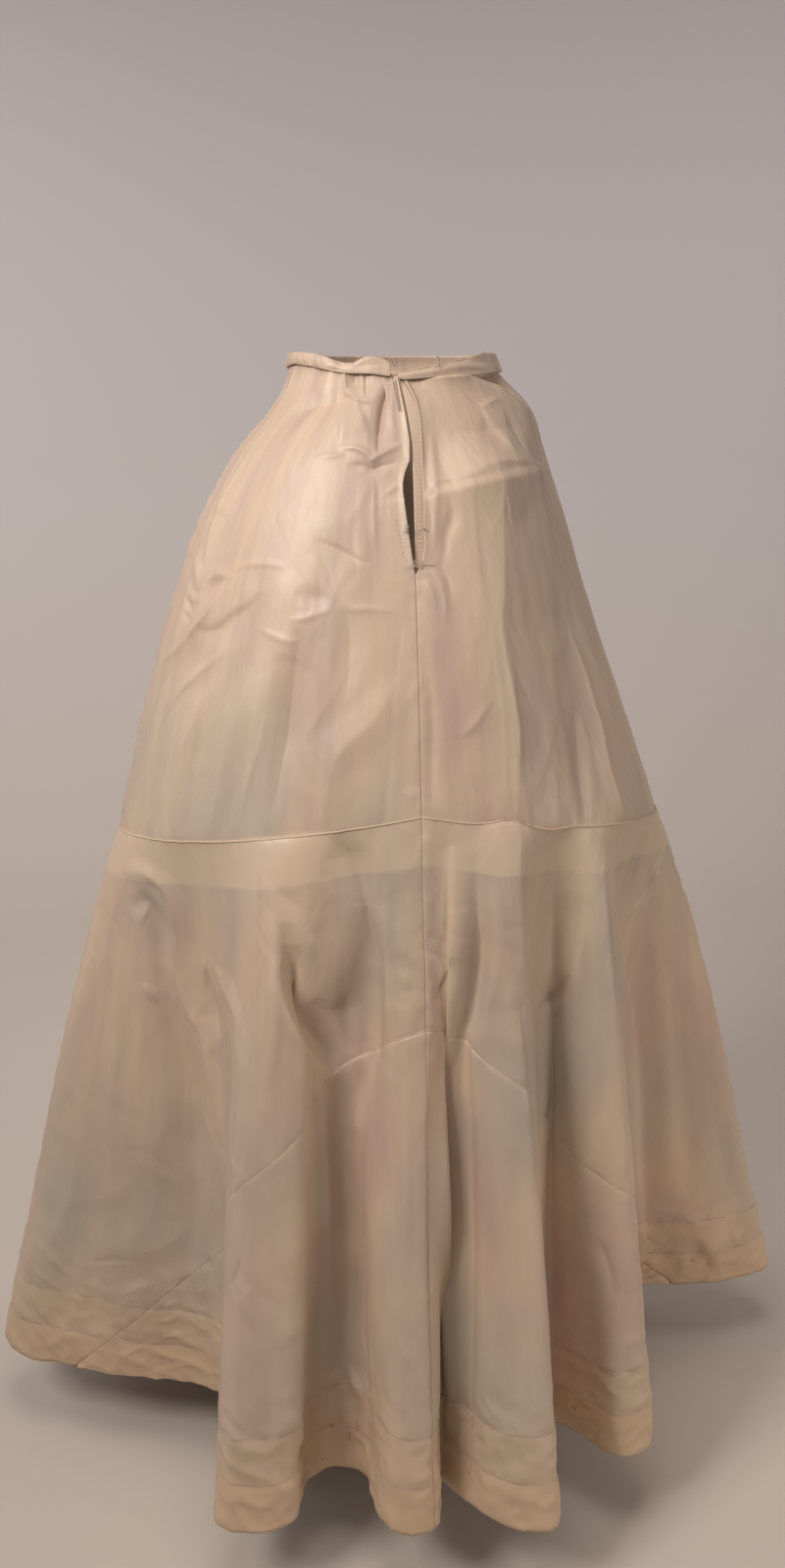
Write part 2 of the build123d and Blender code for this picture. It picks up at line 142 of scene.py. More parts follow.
# Creases and folds read from the photograph: kind, height and width in mm, path in pixels.
# A ridge is round and a crease sharp, a tent and a roof have straight flanks, and all four sink where
# the height is less than nought. The steep side of a fold and the raised side of a step lie right of a
# path that runs down.
YOKE_STROKES = (
    # left hip
    ("ridge", 2.6, 8, ((198, 568), (202, 586), (200, 604))),
    ("ridge", -1.8, 6, ((212, 614), (219, 600), (232, 590))),
    ("crease", 2.4, 3, ((210, 594), (218, 587), (226, 585), (238, 588))),
    ("crease", 1.4, 2.6, ((237, 581), (253, 577), (272, 575), (292, 580))),
    ("crease", 3.2, 3, ((233, 588), (220, 609), (211, 626), (200, 640), (185, 659), (168, 674), (154, 689))),
    ("tent", 2.0, 16, ((240, 584), (220, 612), (202, 640), (185, 662), (160, 690))),
    ("step", -3.6, 3, ((268, 603), (250, 619), (237, 626), (224, 637), (211, 641), (200, 639))),
    ("crease", 2.4, 2.6, ((236, 648), (224, 668), (211, 679), (198, 690), (185, 703), (174, 718),
                         (165, 740), (154, 780))),
    ("tent", 3.6, 14, ((222, 690), (207, 716), (200, 733), (192, 751), (185, 773), (181, 802), (177, 860))),
    ("crease", 1.6, 2.5, ((168, 800), (164, 816), (161, 836))),
    ("crease", 1.8, 3, ((272, 725), (263, 764), (256, 790), (249, 816), (242, 855))),
    ("tent", 3.2, 18, ((256, 680), (246, 720), (234, 765), (222, 810), (212, 860))),
    ("crease", 1.8, 3, ((216, 505), (228, 503), (244, 498))),
    ("crease", 1.6, 3, ((214, 520), (224, 516), (236, 518))),
    ("crease", -1.6, 2.5, ((212, 530), (222, 526), (232, 530))),
    ("crease", -2.2, 2.5, ((188, 609), (192, 616), (198, 626))),
    ("crease", -2.0, 2.5, ((186, 624), (191, 630), (197, 636))),
    ("crease", 1.8, 3, ((190, 600), (200, 612), (207, 606))),
    # dark facet with a crisp right edge, and the ticks above it
    ("tent", -7.0, 19, ((305, 640), (302, 668), (300, 681), (296, 714), (293, 746), (290, 764), (286, 788),
                        (279, 830))),
    ("ridge", -1.4, 9, ((300, 604), (318, 610), (338, 608))),
    ("crease", 1.4, 2.2, ((294, 633), (309, 631), (321, 627), (340, 621))),
    ("crease", 1.4, 2.2, ((264, 642), (279, 649), (294, 654), (306, 653))),
    ("crease", 1.8, 2.6, ((348, 622), (375, 621), (406, 624))),
    ("tent", -3.6, 15, ((353, 618), (356, 645), (356, 675), (352, 715))),
    ("tent", 4.5, 26, ((408, 690), (381, 736), (346, 770), (335, 810), (328, 860))),
    ("step", 0.9, 1.6, ((422, 607), (411, 653), (407, 690), (403, 736), (400, 773), (399, 850))),
    ("crease", 1.0, 2, ((410, 808), (421, 811), (432, 810))),
    # left of the placket, from the waist down
    ("tent", -6.0, 17, ((292, 424), (305, 419), (321, 412), (336, 409), (352, 407), (366, 406))),
    ("crease", 4.0, 2.5, ((352, 374), (352, 388), (353, 402))),
    ("step", -3.4, 2, ((372, 374), (372, 390), (373, 407))),
    ("ridge", -3.2, 7, ((362, 376), (362, 388), (362, 400))),
    ("crease", 4.0, 3, ((350, 398), (359, 403), (366, 408), (382, 409))),
    ("crease", -9.0, 3.6, ((402, 370), (396, 397), (389, 420), (386, 443), (386, 466))),
    ("step", 3.2, 3, ((348, 408), (347, 430), (346, 455))),
    ("step", -3.2, 3, ((364, 408), (374, 430), (379, 455))),
    ("crease", 4.0, 3, ((343, 456), (362, 457), (373, 463), (383, 473))),
    ("crease", 4.0, 3, ((410, 454), (388, 464), (377, 473))),
    ("crease", -4.4, 3.4, ((354, 475), (373, 475), (381, 479), (391, 475), (408, 471))),
    ("crease", 1.6, 3, ((320, 467), (336, 465), (352, 462))),
    ("crease", -2.6, 3, ((320, 551), (340, 558), (352, 564), (363, 571), (380, 577))),
    ("crease", 1.4, 3, ((412, 495), (404, 501), (392, 507))),
    ("crease", 1.0, 2.6, ((384, 488), (384, 520), (385, 562))),
    # right of the placket, from the waist down
    ("fold", 12.0, 12, ((430, 388), (455, 387), (480, 388), (500, 393), (522, 403), (552, 421))),
    ("ridge", -16.0, 9, ((470, 384), (492, 385), (510, 388), (528, 396), (550, 411))),
    ("crease", -1.8, 3, ((458, 388), (476, 403), (492, 417))),
    ("crease", 1.8, 2.5, ((486, 416), (496, 413), (504, 409), (511, 411))),
    ("step", 3.0, 2.5, ((488, 413), (497, 431), (504, 443), (520, 468))),
    ("step", -2.6, 2.5, ((508, 409), (517, 430), (523, 447), (531, 468))),
    ("ridge", -2.6, 8, ((491, 428), (499, 448), (506, 465))),
    ("crease", 1.2, 3, ((560, 479), (538, 474), (515, 474), (500, 476), (490, 478))),
    ("tent", 11.0, 60, ((456, 496), (473, 488), (494, 477), (515, 474), (534, 474), (556, 478))),
    ("ridge", 3.6, 26, ((424, 511), (440, 504), (457, 496), (480, 484), (500, 476))),
    ("crease", 1.8, 2.6, ((502, 636), (508, 674), (515, 714), (521, 745), (522, 783), (523, 850))),
    ("crease", 1.2, 2.4, ((495, 655), (502, 690), (507, 730), (511, 780), (513, 850))),
    ("ridge", -2.4, 6, ((450, 500), (456, 527), (451, 548), (448, 580))),
    ("ridge", 1.8, 5, ((436, 440), (437, 500), (437, 566))),
    ("crease", 2.6, 3, ((573, 618), (586, 659), (595, 688), (602, 716), (610, 740), (617, 773),
                         (627, 803), (638, 838))),
    ("tent", 4.0, 16, ((578, 640), (595, 688), (610, 740), (627, 803), (640, 860))),
    ("tent", -3.4, 14, ((584, 715), (590, 755), (592, 790), (598, 850))),
    ("crease", 1.8, 3, ((635, 730), (645, 766), (651, 792), (659, 828))),
    ("ridge", -2.2, 5, ((438, 690), (441, 735), (442, 780), (441, 845))),
    ("crease", 2.0, 3, ((466, 754), (482, 736), (497, 710))),
    ("crease", 2.0, 3, ((436, 578), (447, 592), (452, 618), (452, 640))),
    ("crease", -2.0, 3, ((442, 574), (454, 590), (459, 616))),
    ("crease", 1.8, 3, ((432, 590), (440, 604), (444, 622))),
)
# Long folds that run from the yoke through its seam.
LONG_STROKES = (
    ("roof", 19.0, 88, ((494, 440), (498, 485), (501, 503), (503, 535), (505, 575), (505, 607), (503, 640), (508, 674),
                        (515, 714), (521, 745), (522, 783), (523, 850), (521, 930), (524, 981), (528, 1030))),
)
FLOUNCE_STROKES = (
    # left, from the side to the centre back
    ("ridge", 3.0, 9, ((126, 893), (138, 890), (150, 892), (160, 898))),
    ("step", 5.0, 3, ((146, 891), (153, 896), (164, 906), (171, 919), (175, 936), (177, 952), (179, 985))),
    ("ridge", -7.0, 11, ((132, 928), (148, 922), (158, 938), (161, 965), (164, 1010))),
    ("ridge", 3.5, 10, ((116, 940), (120, 985), (122, 1040), (120, 1100))),
    ("crease", 3.0, 4, ((149, 1002), (153, 1012), (160, 1024))),
    ("step", 5.0, 3, ((176, 975), (182, 1008), (191, 1034), (204, 1053), (210, 1080), (217, 1120), (224, 1170))),
    ("ridge", -8.0, 17, ((166, 985), (178, 1046), (190, 1090), (199, 1150), (198, 1220), (190, 1300))),
    ("step", 5.0, 3, ((219, 986), (224, 998), (230, 1012), (236, 1034), (241, 1062), (246, 1110))),
    ("ridge", -4.5, 7, ((211, 985), (214, 1010), (219, 1035), (224, 1058))),
    ("crease", 2.0, 2.5, ((213, 972), (210, 988), (208, 1010))),
    ("crease", -2.6, 2.4, ((265, 893), (265, 930), (266, 1000), (264, 1065))),
    ("crease", 2.4, 3, ((270, 893), (270, 940), (270, 1010), (268, 1065))),
    ("ridge", 2.6, 6, ((281, 890), (281, 970), (281, 1050), (272, 1120))),
    ("crease", 4.0, 14, ((252, 1040), (246, 1120), (240, 1200), (230, 1260), (225, 1340), (223, 1440))),
    ("step", -3.6, 4.5, ((283, 908), (291, 919), (301, 931), (310, 945), (318, 960), (325, 985))),
    ("step", -14.0, 4.5, ((286, 940), (289, 975), (293, 1004), (298, 1024), (304, 1046))),
    ("step", -14.0, 4.5, ((294, 1006), (308, 1042), (320, 1064), (338, 1098))),
    ("ridge", 3.5, 6, ((281, 975), (284, 1005), (291, 1030), (301, 1056), (316, 1084))),
    ("ridge", -3.0, 6, ((350, 1010), (353, 1040), (357, 1078))),
    ("step", -6.0, 3.5, ((332, 852), (343, 862), (354, 877), (363, 898), (370, 922), (375, 955), (378, 990))),
    ("ridge", 8.0, 22, ((343, 876), (346, 920), (347, 960), (345, 1000), (342, 1030))),
    ("ridge", -14.0, 20, ((372, 925), (375, 970), (376, 1010), (376, 1050), (372, 1095), (364, 1150))),
    ("ridge", -11.0, 15, ((300, 965), (307, 1005), (318, 1038), (332, 1066), (352, 1096))),
    ("crease", 1.6, 3, ((400, 940), (408, 955), (414, 975))),
    ("crease", 1.6, 3, ((404, 985), (412, 998), (418, 1012))),
    ("ridge", 2.4, 7, ((394, 900), (396, 980), (396, 1060))),
    # below the chevron, left
    ("step", -8.0, 6, ((337, 1090), (342, 1130), (346, 1190), (349, 1270), (349, 1350), (345, 1430))),
    ("ridge", -5.0, 14, ((352, 1110), (356, 1200), (358, 1300), (356, 1400))),
    ("ridge", 7.0, 24, ((374, 1110), (377, 1200), (378, 1300), (376, 1410))),
    ("ridge", 8.0, 13, ((326, 1100), (330, 1180), (333, 1260), (334, 1350), (332, 1430))),
    ("crease", 3.0, 4, ((246, 1190), (243, 1206), (236, 1240), (230, 1290), (226, 1345))),
    ("crease", 2.4, 3, ((236, 1176), (241, 1188), (245, 1200))),
    ("crease", -2.6, 3, ((245, 1280), (242, 1296), (236, 1312), (246, 1325))),
    ("crease", 2.0, 3, ((214, 1306), (220, 1322), (223, 1342))),
    ("crease", 2.2, 3, ((192, 1290), (204, 1312), (214, 1338))),
    ("crease", 1.6, 4, ((260, 1310), (250, 1330), (262, 1356))),
    ("ridge", 2.0, 5, ((414, 1110), (414, 1200), (412, 1300), (414, 1400))),
    ("ridge", -2.0, 6, ((398, 1110), (400, 1220), (400, 1330))),
    ("crease", 1.6, 3, ((366, 1350), (372, 1380), (378, 1420))),
    ("crease", 1.8, 3, ((352, 1395), (362, 1412), (372, 1440))),
    ("crease", 1.8, 3, ((376, 1360), (377, 1400), (375, 1450))),
    # right, from the centre back to the side
    ("tent", -12.0, 17, ((484, 868), (488, 930), (489, 965), (486, 1000), (478, 1035), (471, 1065), (466, 1120))),
    ("ridge", 13.0, 15, ((462, 862), (463, 930), (463, 980), (460, 1030), (456, 1090))),
    ("ridge", 3.0, 6, ((504, 890), (507, 930), (507, 970), (502, 1010), (490, 1046))),
    ("step", -3.6, 3, ((464, 970), (459, 982), (450, 1000), (442, 1022))),
    ("crease", 2.0, 4, ((452, 900), (451, 930), (450, 960))),
    ("step", -3.4, 3, ((516, 884), (520, 938), (524, 981), (530, 1024), (538, 1096), (546, 1170), (553, 1245),
                       (558, 1320), (561, 1400))),
    ("ridge", 2.6, 6, ((510, 900), (514, 960), (520, 1020), (530, 1090), (540, 1180), (548, 1260))),
    ("step", 3.4, 3, ((596, 905), (593, 945), (587, 985), (577, 1012), (562, 1034))),
    ("ridge", -3.5, 8, ((580, 990), (568, 1012), (552, 1034))),
    ("ridge", 13.0, 30, ((574, 930), (580, 1030), (583, 1130), (584, 1240), (584, 1390))),
    ("step", -10.0, 4, ((632, 834), (635, 866), (638, 900), (641, 960), (646, 1030), (651, 1110), (655, 1200),
                        (658, 1290))),
    ("ridge", 3.0, 9, ((616, 850), (620, 950), (628, 1050), (636, 1150), (642, 1250))),
    ("step", 7.0, 3, ((693, 860), (680, 869), (668, 888), (656, 915), (648, 938), (643, 968))),
    ("ridge", -6.0, 10, ((648, 848), (658, 862), (652, 886), (644, 915))),
    ("ridge", 4.0, 12, ((700, 900), (716, 980), (730, 1060), (746, 1150), (758, 1230))),
    ("ridge", -3.0, 12, ((680, 960), (690, 1060), (700, 1160), (708, 1230))),
    ("crease", -3.0, 5, ((610, 1262), (618, 1285), (624, 1305), (627, 1330))),
    # below the chevron, right
    ("crease", -9.0, 14, ((473, 1030), (475, 1110), (475, 1200), (475, 1300), (476, 1400), (478, 1500))),
    ("tent", -7.0, 26, ((464, 1030), (466, 1110), (467, 1200), (468, 1300), (470, 1400), (474, 1520))),
    ("ridge", 11.0, 13, ((452, 1056), (453, 1150), (453, 1250), (455, 1350), (458, 1460))),
    ("step", -4.0, 3, ((438, 1060), (438, 1150), (437, 1300), (440, 1400), (445, 1520))),
    ("ridge", 2.4, 8, ((502, 1100), (506, 1200), (508, 1300), (506, 1400))),
    ("ridge", -2.4, 10, ((528, 1130), (534, 1220), (540, 1320), (544, 1420))),
    ("crease", 2.4, 4, ((489, 1422), (500, 1436), (512, 1452), (524, 1470))),
    ("crease", 1.8, 3, ((408, 1366), (414, 1384), (420, 1400))),
    # hem, left corner
    ("crease", 2.4, 3, ((37, 1262), (46, 1276), (58, 1290), (64, 1300))),
    ("crease", 2.2, 3, ((33, 1290), (42, 1302), (56, 1313))),
    ("crease", 2.4, 3, ((28, 1318), (36, 1330), (46, 1345), (56, 1354))),
    ("crease", -2.2, 3, ((30, 1326), (40, 1344), (52, 1356))),
    ("step", 3.0, 4, ((84, 1320), (70, 1344), (54, 1366), (40, 1384))),
    ("crease", 2.0, 3, ((62, 1355), (76, 1366), (92, 1372))),
    ("crease", -2.0, 3, ((94, 1290), (108, 1286), (122, 1285), (138, 1289))),
    ("crease", 2.0, 3, ((122, 1322), (140, 1314), (158, 1310))),
    ("crease", 2.0, 3, ((184, 1330), (198, 1340), (206, 1352), (212, 1366))),
    # hem, under the folds
    ("crease", 2.2, 3, ((230, 1450), (238, 1464), (236, 1484), (242, 1502))),
    ("crease", -2.0, 3, ((238, 1452), (246, 1462), (252, 1480))),
    ("step", -2.4, 2.5, ((483, 1452), (478, 1480), (473, 1510), (470, 1530))),
    ("crease", 2.0, 3, ((505, 1470), (512, 1490), (510, 1512))),
    ("crease", -2.0, 3, ((594, 1392), (608, 1396), (618, 1402), (634, 1406))),
    ("crease", 2.0, 3, ((614, 1400), (620, 1416), (632, 1424))),
    ("step", 4.0, 3, ((706, 1256), (716, 1268), (726, 1284), (736, 1306))),
    ("crease", 2.2, 3, ((744, 1244), (750, 1262), (752, 1282))),
    ("crease", -2.0, 3, ((660, 1260), (668, 1270), (684, 1272))),
)
BAND_STROKES = (
    ("crease", -3.2, 1.5, ((400, 384), (427, 378), (453, 371), (472, 367), (484, 360))),
    ("ridge", 1.0, 2.0, ((406, 380), (440, 373), (468, 366), (484, 361))),
    ("ridge", 1.8, 3.2, ((406, 385), (440, 380), (460, 376), (480, 375), (504, 377))),
    ("step", -1.2, 1.4, ((470, 368), (482, 371), (495, 373), (508, 376))),
    ("crease", -2.4, 1.4, ((332, 366), (343, 370), (353, 375))),
    ("crease", -1.8, 1.3, ((334, 377), (341, 377), (350, 378))),
    ("crease", 1.2, 1.6, ((312, 360), (314, 367), (312, 375))),
    ("crease", -1.0, 1.5, ((320, 360), (319, 368), (322, 376))),
    ("crease", 1.2, 1.6, ((327, 362), (326, 370), (330, 378))),
    ("crease", 1.0, 1.6, ((306, 361), (308, 367), (306, 373))),
    ("crease", 1.2, 1.8, ((362, 372), (374, 366), (386, 365), (395, 371))),
    ("ridge", -1.0, 2.4, ((360, 377), (374, 373), (390, 374))),
)


def srgb(code):
    """Linear colour of a hex code: each channel c becomes ((c + 0.055) / 1.055) ** 2.4."""
    shares = np.array([int(code[k:k + 2], 16) for k in (1, 3, 5)]) / 255
    linear = np.where(shares > 0.04045, ((shares + 0.055) / 1.055) ** 2.4, shares / 12.92)
    return (*(float(c) for c in linear), 1.0)


def running_length(points):
    """Length of a path up to each of its points: running sum of its chords."""
    return np.concatenate(([0], np.cumsum(np.linalg.norm(np.diff(points, axis=0), axis=1))))


def closed_curve(plan, count=3000):
    """Closed cubic spline through plan points with chord-length spacing, sampled evenly by length."""
    ahead = np.roll(plan, -1, 0)
    chord = np.linalg.norm(ahead - plan, axis=1)
    behind = np.roll(chord, 1)
    places = np.arange(len(plan))
    system = np.diag(2 * (behind + chord))
    system[places, (places + 1) % len(plan)] += chord
    system[places, places - 1] += behind
    slope = (ahead - plan) / chord[:, None]
    bend = np.linalg.solve(system, 6 * (slope - np.roll(slope, 1, 0)))
    knots = np.concatenate(([0], np.cumsum(chord)))
    along = np.linspace(0, knots[-1], 6 * count)
    i = np.clip(np.searchsorted(knots, along, "right") - 1, 0, len(plan) - 1)
    j = (i + 1) % len(plan)
    a = ((knots[i + 1] - along) / chord[i])[:, None]
    b = 1 - a
    curve = (a * plan[i] + b * plan[j]
             + ((a ** 3 - a) * bend[i] + (b ** 3 - b) * bend[j]) * chord[i][:, None] ** 2 / 6)
    length = running_length(curve)
    even = np.linspace(0, length[-1], count + 1)
    return np.stack([np.interp(even, length, curve[:, k]) for k in (0, 1)], 1), length[-1]


HEM_CURVE, HEM_LENGTH = closed_curve(HEM_PLAN_SHARES * HEM_REACH)
HEM_GRID = np.linspace(0, 1, len(HEM_CURVE))


def calm_curve(curve, waves):
    """Closed curve without its folds: its waves round, weakened by a bell of their number."""
    spread = np.fft.rfft(curve[:-1], axis=0) * np.exp(-(np.arange(len(curve) // 2 + 1) / waves) ** 2)[:, None]
    calm = np.fft.irfft(spread, len(curve) - 1, axis=0)
    return np.concatenate([calm, calm[:1]])


HEM_CALM = calm_curve(HEM_CURVE, HEM_CALM_WAVES)
TURN_GRID = np.linspace(0, 1, 721)


def oval(turn, left, right, back, front):
    """Plan of an oval of four reaches: sine of the turn times the side, cosine times the depth."""
    across, out = np.sin(turn), np.cos(turn)
    return np.stack([np.where(across > 0, right, left) * across,
                     np.where(out > 0, back, front) * out], -1)


def seam_arc_table():
    """Share of the yoke seam's length reached at each turn: running sum of the oval's chords."""
    ring = oval(2 * np.pi * TURN_GRID, SEAM_HALF_WIDTH, SEAM_HALF_WIDTH, SEAM_BACK_REACH, SEAM_FRONT_REACH)
    length = running_length(ring)
    return length / length[-1], length[-1]


SEAM_ARC, SEAM_LENGTH = seam_arc_table()
WAIST_LENGTH = np.pi * (WAIST_HALF_WIDTH + WAIST_HALF_DEPTH)
LEVEL_GRID = np.linspace(-0.3, 1.3, 801)


def eased_levels():
    """Growth of the yoke's four sides by depth: straight runs of the table, blurred by a bell."""
    half = 60
    bell = np.exp(-(np.linspace(-3, 3, 2 * half + 1)) ** 2)
    runs = [np.interp(LEVEL_GRID, YOKE_LEVEL_SHARES[:, 0], YOKE_LEVEL_SHARES[:, k]) for k in range(1, 5)]
    return [np.convolve(np.pad(run, half, "edge"), bell / bell.sum(), "valid") for run in runs]


LEVELS = eased_levels()


def signed_share(around):
    """Share round from the centre back: from minus a half on the wearer's left to a half on the right."""
    return np.mod(around + 0.5, 1) - 0.5


def hem_share(around):
    """Share of the hem that hangs from a share round: straight between the side seams."""
    return np.interp(np.mod(around, 1), (0, SIDE_SHARE, 1 - SIDE_SHARE, 1),
                     (0, HEM_RIGHT_SHARE, 1 - HEM_LEFT_SHARE, 1))


def seam_drop(around):
    """Drop of the yoke seam: the back drop plus the side drop times the sine of half a turn."""
    return YOKE_BACK_DROP + YOKE_SIDE_DROP * np.abs(np.sin(np.pi * around))


def skirt_surface(around, down):
    """Right, back and height: an oval growing by the level table to the seam, then mixed with the hem
    without its folds by one power of the share down, plus the folds by a power that changes from the
    centre back to the sides."""
    turn = 2 * np.pi * np.interp(np.mod(around, 1), SEAM_ARC, TURN_GRID)
    left, right, back, front = (np.interp(np.clip(down, -0.2, 1), LEVEL_GRID, level) for level in LEVELS)
    wide, deep = SEAM_HALF_WIDTH - WAIST_HALF_WIDTH, SEAM_BACK_REACH - WAIST_HALF_DEPTH
    yoke = oval(turn, WAIST_HALF_WIDTH + wide * left, WAIST_HALF_WIDTH + wide * right,
                WAIST_HALF_DEPTH + deep * back,
                WAIST_HALF_DEPTH + (SEAM_FRONT_REACH - WAIST_HALF_DEPTH) * front)
    place = hem_share(around)
    hem, calm = (np.stack([np.interp(place, HEM_GRID, curve[:, k]) for k in (0, 1)], -1)
                 for curve in (HEM_CURVE, HEM_CALM))
    below = np.clip(down - 1, 0, 1)[..., None]
    bend = np.interp(np.abs(signed_share(around))[..., None], *np.transpose(FOLD_BENDS))
    flare, folds = below ** FLARE_BEND, below ** bend
    drop = seam_drop(around)
    height = np.where(down <= 1, -drop * down, -drop - (HEM_DROP - drop) * (down - 1))
    return np.concatenate([yoke * (1 - flare) + calm * flare + (hem - calm) * folds, height[..., None]], -1)


def outward(around, down):
    """Unit normal: cross product of the steps down and round, from small differences."""
    step = 0.002
    fall = skirt_surface(around, down + step) - skirt_surface(around, down - step)
    ring = skirt_surface(around + step, down) - skirt_surface(around - step, down)
    normal = np.cross(ring, fall)
    return normal / np.maximum(np.linalg.norm(normal, axis=-1, keepdims=True), 1e-12)


def cloth_place(around, down):
    """Place on the opened cloth in metres: length round from the centre back, and drop."""
    signed = signed_share(around)
    hem = hem_share(around) - (signed < 0)
    flare = np.clip(down - 1, 0, 1)
    ring = WAIST_LENGTH + (SEAM_LENGTH - WAIST_LENGTH) * np.clip(down, 0, 1)
    drop = seam_drop(around)
    return np.stack([signed * ring * (1 - flare) + hem * HEM_LENGTH * flare,
                     np.where(down <= 1, drop * down, drop + (HEM_DROP - drop) * (down - 1))], -1)


def cloth_marks(around, down):
    """Cloth place with a third value: the share round times the yoke seam's length, the same all the
    way down, for streaks that follow the folds."""
    return np.concatenate([cloth_place(around, down), (signed_share(around) * SEAM_LENGTH)[..., None]], -1)



def to_pixels(points):
    """Pixels and depth of right, back, height points: turned to the eye, then focal over depth."""
    right, back, height = points[..., 0], points[..., 1], points[..., 2]
    side = right * np.cos(EYE_TURN) + back * np.sin(EYE_TURN)
    depth = EYE_DISTANCE + right * np.sin(EYE_TURN) - back * np.cos(EYE_TURN)
    return np.stack([EYE_PIXEL[0] + FOCAL_PIXELS * side / depth,
                     EYE_PIXEL[1] - FOCAL_PIXELS * (height - EYE_HEIGHT) / depth], -1), depth


# The part of the skirt that faces the eye, as a grid of places.
SEEN_SHARE, SEEN_TOP, SEEN_COUNT = 0.32, -0.08, 900
SEEN_AROUND, SEEN_DOWN = np.meshgrid(np.linspace(-SEEN_SHARE, SEEN_SHARE, SEEN_COUNT),
                                     np.linspace(SEEN_TOP, 2, SEEN_COUNT))
SEEN_PIXELS, SEEN_DEPTH = to_pixels(skirt_surface(SEEN_AROUND, SEEN_DOWN))
SEEN_PLACES = cloth_place(SEEN_AROUND, SEEN_DOWN).reshape(-1, 2)
SEEN_PIXELS, SEEN_DEPTH = SEEN_PIXELS.reshape(-1, 2), SEEN_DEPTH.ravel()


def on_cloth(pixels):
    """Cloth places of photo pixels: of the places within a few pixels of the nearest, the one with the
    least sum of its gap in pixels and its depth, so that none lies behind another."""
    near, pixels_per_metre, far = 4, 400, 9
    gap = np.linalg.norm(SEEN_PIXELS[None] - np.asarray(pixels, float)[:, None], axis=2)
    cost = gap + pixels_per_metre * np.where(gap < gap.min(1, keepdims=True) + near, SEEN_DEPTH[None], far)
    return SEEN_PLACES[np.argmin(cost, 1)]


def edge_from(pixels, rest):
    """Share down of an edge at the waist: drop straight between places read from pixels, by length
    round, and a level rest past the sides."""
    places = on_cloth(pixels)
    side = WAIST_LENGTH * SEEN_SHARE
    length = np.concatenate(([-side], places[:, 0], [side]))
    drop = np.concatenate(([rest], places[:, 1], [rest]))
    return lambda around: np.interp(cloth_place(around, 0 * around)[..., 0], length, drop) / seam_drop(around)


def smooth_path(points, count=28):
    """Round path through points: Catmull-Rom cubic between each two, at even shares."""
    padded = np.concatenate([2 * points[:1] - points[1:2], points, 2 * points[-1:] - points[-2:-1]])
    share = np.linspace(0, len(points) - 1, count)
    i = np.minimum(share.astype(int), len(points) - 2)
    t = (share - i)[:, None]
    a, b, c, d = (padded[i + k] for k in range(4))
    return 0.5 * (2 * b + (c - a) * t + (2 * a - 5 * b + 4 * c - d) * t ** 2 + (3 * b - a - 3 * c + d) * t ** 3)


STEP_REACH = 9


def step_profile(d):
    """Step at a line: half of one plus the hyperbolic tangent, sinking back to nought at its reach."""
    return 0.5 * (1 + np.tanh(d)) * np.clip(1 - d / STEP_REACH, 0, 1) ** 1.3 * (d > -4)


def flank_profile(d):
    """Two straight flanks that meet in a crest: a soft maximum of nought and one less the distance, which
    rounds their feet."""
    sharp = 9
    return np.logaddexp(0, sharp * (1 - np.abs(d))) / sharp


# Height by the signed distance over the width, and the distance at which it has faded.
PROFILES = {
    "ridge": (lambda d: np.exp(-d ** 2), 3),
    "crease": (lambda d: np.exp(-np.abs(d)), 6),
    "fold": (lambda d: np.where(d > 0, np.exp(-(d / 0.4) ** 2), np.exp(np.minimum(d, 0))), 6),
    "step": (step_profile, STEP_REACH),
    "roof": (flank_profile, 1.7),
    "tent": (flank_profile, 1.7),
}


def stroke_relief(places, kind, height, width, path):
    """Relief of one stroke: its profile over the signed distance from the path. It fades and narrows at
    the ends by the sine of the share along, and a roof rises three times as fast at its start."""
    profile, faded = PROFILES[kind]
    reach = width * faded
    near = np.all((places > path.min(0) - reach) & (places < path.max(0) + reach), axis=-1)
    relief = np.zeros(places.shape[:-1])
    if not near.any():
        return relief
    start, run = path[:-1], np.diff(path, axis=0)
    length = np.linalg.norm(run, axis=1)
    offset = places[near][:, None] - start[None]
    share = np.clip((offset * run).sum(-1) / length ** 2, 0, 1)
    miss = offset - share[..., None] * run
    gap = np.linalg.norm(miss, axis=-1)
    best = gap.argmin(1)
    rows = np.arange(len(best))
    side = np.sign(miss[rows, best, 0] * run[best, 1] - miss[rows, best, 1] * run[best, 0])
    along = (best + share[rows, best]) / len(run)
    rise = np.where((along < 0.5) & (kind == "roof"), 3, 1)
    fade = np.minimum(np.sin(np.pi * along) * rise, 1) ** 0.9
    relief[near] = height * profile(side * gap[rows, best] / (width * (0.45 + 0.55 * fade))) * fade
    return relief


def lattice(ix, iy, seed):
    """Random share of a lattice point: low bits of mixed integer products."""
    mixed = (ix * 374761393 + iy * 668265263 + seed * 974634541) & 0x7fffffff
    mixed = ((mixed ^ (mixed >> 13)) * 1274126177) & 0x7fffffff
    return ((mixed ^ (mixed >> 16)) & 0xffff) / 65535


def soft_noise(x, y, seed):
    """Smooth noise from -1 to 1: lattice values mixed by an eased share in both directions."""
    ix, iy = np.floor(x).astype(np.int64), np.floor(y).astype(np.int64)
    fx, fy = x - ix, y - iy
    ex, ey = fx * fx * fx * (fx * (6 * fx - 15) + 10), fy * fy * fy * (fy * (6 * fy - 15) + 10)
    low = lattice(ix, iy, seed) * (1 - ex) + lattice(ix + 1, iy, seed) * ex
    high = lattice(ix, iy + 1, seed) * (1 - ex) + lattice(ix + 1, iy + 1, seed) * ex
    return 2 * (low * (1 - ey) + high * ey) - 1


def chevron(around):
    """Share down of the gore's top seam: a start below the yoke seam plus a power of the share round."""
    signed = signed_share(around)
    reach = np.abs(signed) / np.where(signed < 0, CHEVRON_LEFT_SHARE, CHEVRON_RIGHT_SHARE)
    return np.minimum(1 + CHEVRON_START + (1 - CHEVRON_START) * reach ** CHEVRON_BEND, 2)


